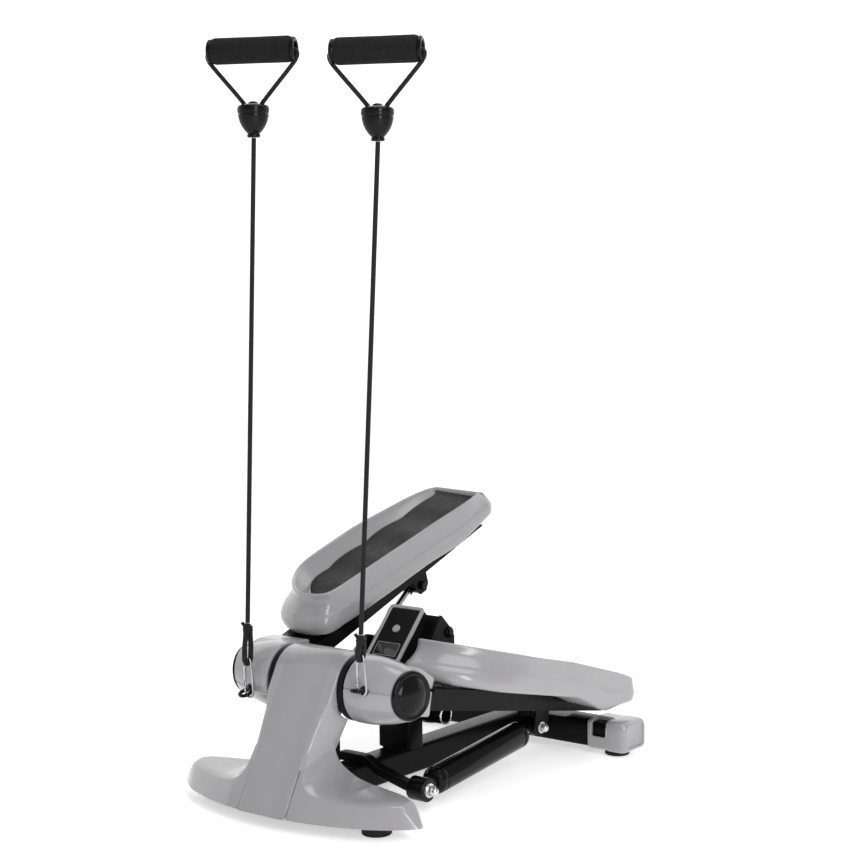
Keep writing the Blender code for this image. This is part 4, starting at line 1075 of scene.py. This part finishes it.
OUTER_WALL = (
    # share of the height, growth of the outline, bulge of the toe
    (0, -2.6, 21),
    (0.02, -0.9, 24),
    (0.05, 0.4, 25.6),
    (0.12, 1.4, 26.6),
    (0.20, 1.9, 26.8),
    (0.28, 2.2, 25.4),
    (0.36, 2.3, 22.4),
    (0.44, 2.3, 18.4),
    (0.465, 1.3, 16.4),
    (0.55, 0.9, 11.8),
    (0.63, 0.6, 7.2),
    (0.71, 0.3, 3.6),
    (0.79, 0.1, 1.2),
    (0.87, 0, 0),
    (0.94, 0, 0),
    (0.975, -0.2, 0),
    (0.99, -0.7, 0),
    (1, -1.6, 0),
)
TRAY_FLOOR = [(100, 42.5), (400, 29), (440, 28), (470, 28.6), (495, 30)]
HEEL_TAPER = 9


def tray_share(x):
    """0 at the tray's inner side and 1 near its outer side."""
    return clamp((x - 57) / 128)


def across_tray(x, inner, outer):
    return inner + (outer - inner) * tray_share(x)


def tray_rim(x, v):
    return across_tray(x, between(v, INNER_RIM), between(v, OUTER_RIM))


def tray_bottom(x, v):
    return across_tray(x, between(v, INNER_UNDER), between(v, OUTER_UNDER))


def tray_floor(v):
    return between(v, TRAY_FLOOR)


def tray_outline(inner_grow, outer_grow, toe_grow, per=3, taper=HEEL_TAPER, heel_inset=-7):
    """The rim's outline grown outwards by side and by the toe's bulge, and drawn in at the heel."""
    loop = [Vector((x, v)) for x, v, _, _ in TRAY_PAIRS]
    loop += [Vector((x, v)) for _, _, x, v in reversed(TRAY_PAIRS)]
    grown = []
    for i, point in enumerate(loop):
        edge = (loop[(i + 1) % len(loop)] - loop[i - 1]).normalized()
        normal = Vector((-edge.y, edge.x))
        amount = inner_grow + (outer_grow - inner_grow) * clamp((normal.x + 0.3) / 0.6)
        near_heel = ease((point.y - 425) / 62)
        if amount < heel_inset:
            amount += (heel_inset - amount) * near_heel * clamp(1.6 * normal.y)
        amount -= taper * near_heel * (1 - 0.75 * tray_share(point.x))
        facing = min(max(0.35 * normal.x - 0.94 * normal.y, 0), 0.94)
        grown.append(point + normal * (amount + toe_grow * ease((215 - point.y) / 90) * facing))
    return flow(grown, per, closed=True)


def make_tray(side):
    """The deep tray: bulged toe, creased side wall, rolled rim and sloping recess."""
    place = on_pedal(side)
    sign = SIGN[side]
    rings = []
    for share, grow, toe in OUTER_WALL:
        ring = []
        taper = HEEL_TAPER * max(0, (share - 0.46) / 0.54) ** 1.2
        for x, v in tray_outline(grow, grow, toe, taper=taper):
            low = tray_bottom(x, v)
            ring.append(place(sign * x, v, low + share * (tray_rim(x, v) - low)))
        rings.append(ring)
    for inset, drop in ((-3, -0.3), (-4.4, 0.3), (-5.6, 1.6), (-6.3, 3.4)):
        outline = tray_outline(inset, inset, 0)
        rings.append([place(sign * x, v, tray_rim(x, v) - drop) for x, v in outline])
    for share in (0.25, 0.5, 0.75, 0.92, 1):
        inner, outer = -6.6 - 2.4 * share, -7 - 12 * share**1.15
        ring = []
        for x, v in tray_outline(inner, outer, 0):
            top = max(tray_rim(x, v) - 4, tray_floor(v) + 1)
            ring.append(place(sign * x, v, top + (tray_floor(v) - top) * share))
        rings.append(ring)
    tray = loft("pedal_tray_" + side, rings, "tray", side + "_pedal", ["footplate_" + side], ends="strips")
    under = [(v, between(v, ARM_TOP) + 0.6) for v in (40, 110, 150, 232, 300, 335, 378, 430, 470, 484)]
    under += [(500, -25), (500, -60), (40, -60)]
    ends = sorted((sign * 79, sign * 131))
    carve(tray, [[place(x, v, h) for v, h in under] for x in ends])


MAT_PERIOD = 88
MAT_PEAK = 260
MAT_SCALLOP = 6.5


def mat_relief(x, v):
    """Height of the broad soft waves that cross the mat."""
    wander = 6 * math.sin(2 * math.pi * (x - 60) / 150)
    return 0.9 + 1.1 * math.cos(2 * math.pi * (v + wander - MAT_PEAK) / MAT_PERIOD)


def make_mat(side):
    """The rubber mat: scalloped along its outer edge, with broad waves across it."""
    place = on_pedal(side)
    sign = SIGN[side]
    loop = tray_outline(-9.6, -20.5, 0, 12, heel_inset=-8.3)
    half = len(loop) // 2
    rows = []
    columns = 30
    for i in range(half - 1):
        inner, outer = loop[i], loop[len(loop) - 1 - i]
        shift = MAT_SCALLOP * (abs(math.cos(math.pi * (outer.y - MAT_PEAK) / MAT_PERIOD)) - 1)
        outer = Vector((outer.x + shift, outer.y))
        rows.append([inner.lerp(outer, step / (columns - 1)) for step in range(columns)])
    points = []
    for r, row in enumerate(rows):
        for c, point in enumerate(row):
            edge = min(c, columns - 1 - c) / 2
            end = min(r, len(rows) - 1 - r) / 6
            near = min(edge, end, 1)
            rise = 1.6 + 1.4 * math.sqrt(near) + near * mat_relief(point.x, point.y)
            points.append(place(sign * point.x, point.y, tray_floor(point.y) + rise))
    top = len(points)
    for row in rows:
        for point in row:
            points.append(place(sign * point.x, point.y, tray_floor(point.y) + 0.3))
    faces = grid_faces(len(rows), columns, wrap=False)
    faces += [tuple(index + top for index in face) for face in faces]
    rim = list(range(columns)) + [r * columns + columns - 1 for r in range(1, len(rows))]
    rim += [(len(rows) - 1) * columns + c for c in range(columns - 2, -1, -1)]
    rim += [r * columns for r in range(len(rows) - 2, 0, -1)]
    faces += [(a, b, b + top, a + top) for a, b in zip(rim, rim[1:] + rim[:1])]
    add_piece("tread_mat_" + side, points, faces, "mat", side + "_pedal", ["grip_mat_" + side], sharp=50)


# ---- damping cylinders and fasteners


def nut(name, radius, low, high, put, finish, body):
    """A hexagon nut with rounded corners; radius is to its corners."""
    rings = [[put(a, b, run) for a, b in circle(radius, 6)] for run in (low, high)]
    return loft(name, rings, finish, body, bevel=0.7)


def make_cylinder(side):
    """Barrel with rolled ends, eyes with bushes and a chromed rod."""
    place = on_cylinder(side)
    sign = SIGN[side]
    body = side + "_cylinder"
    x = sign * CYLINDER_X
    profile = [(6.3, 44), (6.3, 232), (10.6, 232), (11.4, 231), (11.8, 228.4), (16, 228)]
    profile += [(18, 226.2), (18.9, 223), (18.9, 219.4), (17.9, 218.2), (17.9, 216.6)]
    profile += [(19, 215.4), (19, 40), (18, 38.8), (18, 37.4), (19, 36.2), (18.8, 31.5)]
    profile += [(17, 27.6), (13.4, 24.6), (9.2, 23.4), (8.8, 14), (8.8, 8), (3, 8), (3, 44)]
    smooth = soft(profile, 0.7, 3)
    ring_turned("damper_barrel_" + side, smooth, along(place, x, 0, 0), "gloss", body,
                ["cylinder_barrel_" + side], steps=56)
    eye = soft([(6.4, -12), (15, -12), (16, -11), (16, 14), (15, 15), (6.4, 15)], 0.8)
    ring_turned("lower_eye_" + side, eye, across(place, x, 0, 0, sign), "gloss", body, steps=48)
    bush = rectangle(6.35, -12.6, 9.6, 15.6, 0.4)
    ring_turned("lower_bush_" + side, bush, across(place, x, 0, 0, sign), "zinc", body, steps=40)
    make_rod(side, place, sign, x)


def make_rod(side, place, sign, x):
    length = cylinder_pose(side)[1]
    body = side + "_piston"
    rod = [(0, -208), (5.4, -208), (6, -207), (6, -16), (0, -16)]
    rod = [(radius, length + run) for radius, run in rod]
    turned("damper_rod_" + side, rod, along(place, x, 0, 0), "chrome", body, ["cylinder_rod_" + side])
    shoulder = [(0, -16.4), (7.4, -16.4), (7.8, -15.6), (7.6, -10), (0, -10)]
    shoulder = [(radius, length + run) for radius, run in shoulder]
    turned("rod_shoulder_" + side, shoulder, along(place, x, 0, 0), "steel", body, steps=36)
    put = across(place, x, length, 0, sign)
    eye = soft([(9.6, -13.5), (11.6, -13.5), (12.5, -12.6), (12.5, 7.6), (11.6, 8.5), (9.6, 8.5)], 0.6)
    ring_turned("rod_eye_" + side, eye, put, "steel", body)
    ring_turned("rod_bush_" + side, rectangle(8.5, -13.3, 9.8, 8.3, 0.3), put, "rubber", body)


def make_nut_stack(name, side, put, body, washer, hexagon, dome, covers=()):
    """A washer, a nut and the domed end of its stud; dome is foot, radius, base and rise."""
    ring_turned(f"{name}_washer_{side}", rectangle(*washer, 0.4), put, "zinc", body, covers)
    nut(f"{name}_nut_{side}", *hexagon, put, "zinc", body)
    foot, radius, base, rise = dome
    turns = [math.radians(degrees) for degrees in range(0, 90, 15)]
    profile = [foot] + [(radius * math.cos(turn), base + rise * math.sin(turn)) for turn in turns]
    turned(f"{name}_dome_{side}", profile + [(0, base + rise)], put, "zinc", body, steps=36)


def make_fasteners(side):
    """Bolt, washers and nuts at both ends of a damping cylinder."""
    sign = SIGN[side]
    upper = across(on_pedal(side), 0, CLEVIS[0], CLEVIS[1], sign)
    inner, outer = CYLINDER_X - 18, CYLINDER_X + 13
    body = side + "_pedal"
    shank = [(0, inner - 1), (4, inner - 1), (4, outer + 9.6), (3.4, outer + 10.4)]
    shank += [(0, outer + 10.4)]
    turned("clevis_pin_" + side, shank, upper, "zinc", body, ["clevis_bolt_" + side], steps=32)
    nut("clevis_head_" + side, 6.5, inner - 5.5, inner - 0.3, upper, "gloss", body)
    make_nut_stack("clevis", side, upper, body, (4.1, outer + 0.3, 8.4, outer + 1.9),
                   (6.5, outer + 2, outer + 7.4), ((5.3, outer + 7.2), 5.2, outer + 8, 4))
    lower = across(on_base, 0, LOWER_PIVOT[0], LOWER_PIVOT[1], sign)
    make_nut_stack("stud", side, lower, "base", (0.5, 128.3, 9.5, 130.2), (7.5, 130.2, 136.6),
                   ((6, 136.3), 5.8, 137.6, 5.4), ["lower_nut_" + side])


# ---- counter


def framed(place, box, stations):
    """Rings of a rounded rectangle on a face; each station is growth, corner radius and height."""
    x, low, high = box
    rings = []
    for grow, radius, h in stations:
        outline = rectangle(-x - grow, low - grow, x + grow, high + grow, radius, 5)
        rings.append([place(a, v, h) for a, v in outline])
    return rings


def make_counter():
    """Rounded grey bezel round a black panel with a dark window and a round button."""
    place = on_counter()
    outside = ((0, 6, -3.7), (0, 6, -0.9), (-0.3, 5.7, -0.35), (-1, 5, 0))
    inside = ((1, 4, 0), (0.4, 3.4, -0.3), (0, 3, -1), (0, 3, -3.7))
    rim = framed(place, (30, 0, 91), outside) + framed(place, (25, 5, 86), inside)
    loft("counter_frame_rim", rim, "grey", "base", ["counter_bezel"], ends="joined", sharp=40)
    outline = [(2, -4), (5, -22), (14, -31), (42, -31), (50, -22), (88, -22)]
    outline += [(89, -4)]
    prism("counter_body", soft(outline, 4), -28, 28, place, "dull", "base", ["counter_case"], bevel=2.2)
    panel = framed(place, (25, 5, 86), ((-0.3, 2.8, -3.7), (-0.3, 2.8, -1.4), (-0.8, 2.8, -1)))
    face = loft("counter_face", panel, "gloss", "base", ["counter_panel"])
    carve(face, framed(place, (19, 10, 29), ((0, 1.5, -2), (0, 1.5, 2))))
    hole = circle(6.6, 36)
    carve(face, [[place(a, BUTTON_V + b, h) for a, b in hole] for h in (-9, 5)])
    glass = framed(place, (18.7, 10.3, 28.7), ((0, 1.3, -2), (0, 1.3, -1.2), (-0.4, 1.3, -0.9)))
    loft("counter_window", glass, "glass", "base", ["counter_display"])
    edge = ((0, 1.8, -1.1), (0, 1.8, -0.75), (0.7, 1.8, -0.75), (0.7, 1.8, -1.1))
    loft("window_border", framed(place, (19.2, 9.8, 29.2), edge), "satin", "base", ends="joined")
    button = [(0, -2.4), (6, -2.4), (6, 0.2), (5.4, 0.9), (4.6, 0.7), (3, 0.9), (0, 1.1)]
    center = upright(place, 0, BUTTON_V, 0)
    turned("mode_button_cap", soft(button, [0, 0.3, 0.5, 0.4, 0.6, 1, 0], 3, closed=False),
           center, "grey", "mode_button", ["counter_button"], steps=48)
    ring = soft([(6.2, -1.4), (7.6, -1.4), (7.4, -0.5), (6.4, -0.5)], 0.25)
    ring_turned("button_ring", ring, center, "dull", "base", steps=48)


# ---- floor frame


def swapped(place):
    """The same place with its first two directions exchanged, for bars that run back."""
    return lambda v, x, h: place(x, v, h)


def stood(place):
    """The same place with its first and last directions exchanged, for bars that stand."""
    return lambda h, v, x: place(x, v, h)


def make_frame():
    bars = (
        ("floor_rail", "main_rail", (-47.7, -19, 9), (419.7, 19, 47), 4, swapped(on_base)),
        ("rear_bar", "rear_tube", (-172, 420, 10), (172, 468, 48), 5, on_base),
        ("front_bar", "front_crossbar", (-160, -72, 12), (160, -48, 37), 4, on_base),
        ("counter_post", "support_post", (47.3, 138, -27.5), (159.7, 172, 27.5), 4, stood(on_base)),
    )
    for name, node, low, high, radius, place in bars:
        bar(name, low, high, radius, place, "steel", "base", [node])
    stop = rectangle(10.5, -57, 13, 57, 0.6)
    ring_turned("stop_tube", stop, across(on_base, 0, 184.5, 93), "steel", "base")
    lip = rectangle(10.6, 55.4, 13.5, 58.2, 0.8)
    for side, sign in SIGN.items():
        ring_turned("stop_ring_" + side, lip, across(on_base, 0, 184.5, 93, sign), "chrome", "base")
    make_welds()
    make_bracket()


def make_welds():
    """Weld beads where the rail meets the cross tubes and the post stands on the rail."""
    runs = {
        "weld_front": [(-19.2, -47.8, 14), (-19.2, -47.8, 36)],
        "weld_front_right": [(19.2, -47.8, 14), (19.2, -47.8, 36)],
        "weld_rear": [(-17, 419.8, 47.2), (17, 419.8, 47.2)],
        "weld_rear_right": [(19.2, 419.8, 14), (19.2, 419.8, 44)],
        "weld_rear_left": [(-19.2, 419.8, 14), (-19.2, 419.8, 44)],
        "weld_post_front": [(-18, 138.2, 47.4), (18, 138.2, 47.4)],
        "weld_post_back": [(-18, 171.8, 47.4), (18, 171.8, 47.4)],
    }
    for name, (start, end) in runs.items():
        route = [on_base(*Vector(start).lerp(Vector(end), step / 48)) for step in range(49)]
        tube(name, route, lambda t: 2.1 + 0.35 * math.sin(t * 60), "steel", "base", sides=10)


def make_tray_rest(side):
    """A steel pad under the tray's toe, and a small stop in front of it."""
    sign = SIGN[side]
    place = swapped(on_pedal(side))
    for name, widths, low, high, radius, finish in (
        ("tray_rest_", (84, 126), (62, 5), (128, 14.6), 1.5, "steel"),
        ("tray_stop_", (112, 128), (60.5, 7), (84, 17), 1.2, "gloss"),
    ):
        near, far = sorted(sign * x for x in widths)
        bar(name + side, (low[0], near, low[1]), (high[0], far, high[1]), radius, place, finish,
            side + "_pedal")


def make_bracket_bolts():
    """Black bolts through both flanges of the counter's bracket."""
    profile = [(0, 42), (3.9, 42), (3.9, 47.1), (8, 47.1), (8, 49), (5.6, 49.6)]
    profile += [(5.2, 52), (0, 53)]
    for side, sign in SIGN.items():
        put = across(on_base, 0, 206, 205, sign)
        turned("bracket_bolt_" + side, profile, put, "gloss", "base", steps=36)


def make_bracket():
    """The bent bar that carries the lower pivots, and its studs."""
    half = [(24, 53.6), (44, 42), (100, 28)]
    run = [(-x, z) for x, z in reversed(half)] + half
    upper = [(x, z + 6) for x, z in run]
    lower = [(x, z - 6) for x, z in reversed(run)]
    outline = soft(upper + lower, [5, 9, 9, 9, 9, 5] * 2)
    rings = [[on_base(x, y, z) for x, z in outline] for y in (47, 63)]
    loft("pivot_bar", rings, "steel", "base", ["cylinder_bracket"], bevel=1.6)
    stud = [(0, 92), (6, 92), (6, 128), (0, 128)]
    for side, sign in SIGN.items():
        put = across(on_base, 0, LOWER_PIVOT[0], LOWER_PIVOT[1], sign)
        turned("pivot_stud_" + side, stud, put, "zinc", "base", steps=32)


SHOE_STATIONS = (
    # x, half depth, half height and corner radius, from the sleeve's mouth to the end panel
    (138, 26.5, 20, 9),
    (139.2, 28.2, 21.4, 9),
    (141, 28.8, 21.9, 9),
    (171, 28.8, 21.9, 9),
    (173, 29.4, 22.2, 9),
    (175.5, 30, 22.5, 9),
    (194, 30, 22.5, 9.5),
    (198.5, 29.2, 21.8, 9.5),
    (202, 27.2, 20.2, 9),
    (203.6, 25.2, 18.6, 8),
    (204, 22.8, 16.4, 7),
    (203.6, 21.8, 15.6, 6.4),
    (201.4, 21, 14.8, 6),
    (201, 20, 14, 5.6),
)


def make_end_cap(side):
    """Plastic shoe on the rear tube: slimmer sleeve, lipped window, fuller end with a panel."""
    sign = SIGN[side]
    place = turned_place(444, 30.5, 0)
    rings = []
    for x, half_v, half_h, radius in SHOE_STATIONS:
        outline = rectangle(-half_v, -half_h, half_v, half_h, radius, 6)
        rings.append([place(sign * x, v, h) for v, h in outline])
    cap = loft("tube_shoe_" + side, rings, "grey", "base", ["rear_end_cap_" + side], sharp=40)
    socket = sorted((sign * 130, sign * 172.3))
    carve(cap, block((socket[0], -24.3, -20.8), (socket[1], 24.3, 17.8), place))
    window = sorted((sign * 145.5, sign * 171))
    carve(cap, block((window[0], -40, -2.5), (window[1], -5, 30), place))
    lip = [(144.5, -28.8, -3), (172, -28.8, -3), (172, -28.8, 13), (172, -20.6, 21.9)]
    lip += [(172, -4.5, 21.9), (144.5, -4.5, 21.9), (144.5, -20.6, 21.9), (144.5, -28.8, 13)]
    route = [place(sign * x, v, h) for x, v, h in soft(lip, 5, 4)]
    tube("shoe_lip_" + side, route, 1.7, "grey", "base", sides=12, closed=True)


def make_feet():
    """Ribbed rubber feet under the front covers and the rear shoes."""
    for side, sign in SIGN.items():
        for name, x, y, radius, top in (("front", 134, -60, 19.5, 11.7), ("rear", 172, 444, 18, 7.7)):
            profile = [(0, 0.6), (radius - 5, 0.6), (radius - 4.2, 0), (radius - 1.4, 0)]
            profile += [(radius, 1.4), (radius, 2.6), (radius - 0.6, 3), (radius - 0.6, 3.6)]
            profile += [(radius, 4), (radius, top - 2.6), (radius - 2, top), (0, top)]
            smooth = soft(profile, 0.4, 2, closed=False)
            center = upright(on_base, sign * x, y, 0)
            turned(f"{name}_pad_{side}", smooth, center, "rubber", "base", [f"{name}_foot_{side}"], steps=56)


# ---- carried-over CAD nodes


def paint_frame():
    """Better materials for the CAD nodes that stay."""
    paint("steel", "front_upright", "counter_bracket")
    paint("zinc", "pivot_axle", "balance_cable")
    paint("dull", "balance_pulley")
    for side in SIGN:
        paint("steel", "pedal_arm_" + side, "cylinder_clevis_" + side)


def save_sizes():
    boxes = {"cad": cad_box, "visual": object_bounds()}
    plain = {name: [[round(value, 6) for value in corner] for corner in box] for name, box in boxes.items()}


add_camera()
make_handles()
make_column()
for side in SIGN:
    make_wing(side)
    make_drum(side)
    make_tray(side)
    make_mat(side)
    make_cylinder(side)
    make_fasteners(side)
    make_end_cap(side)
    make_tray_rest(side)
make_counter()
make_frame()
make_bracket_bolts()
make_feet()
paint_frame()
add_floor(floor_paper())
add_studio()
save_sizes()
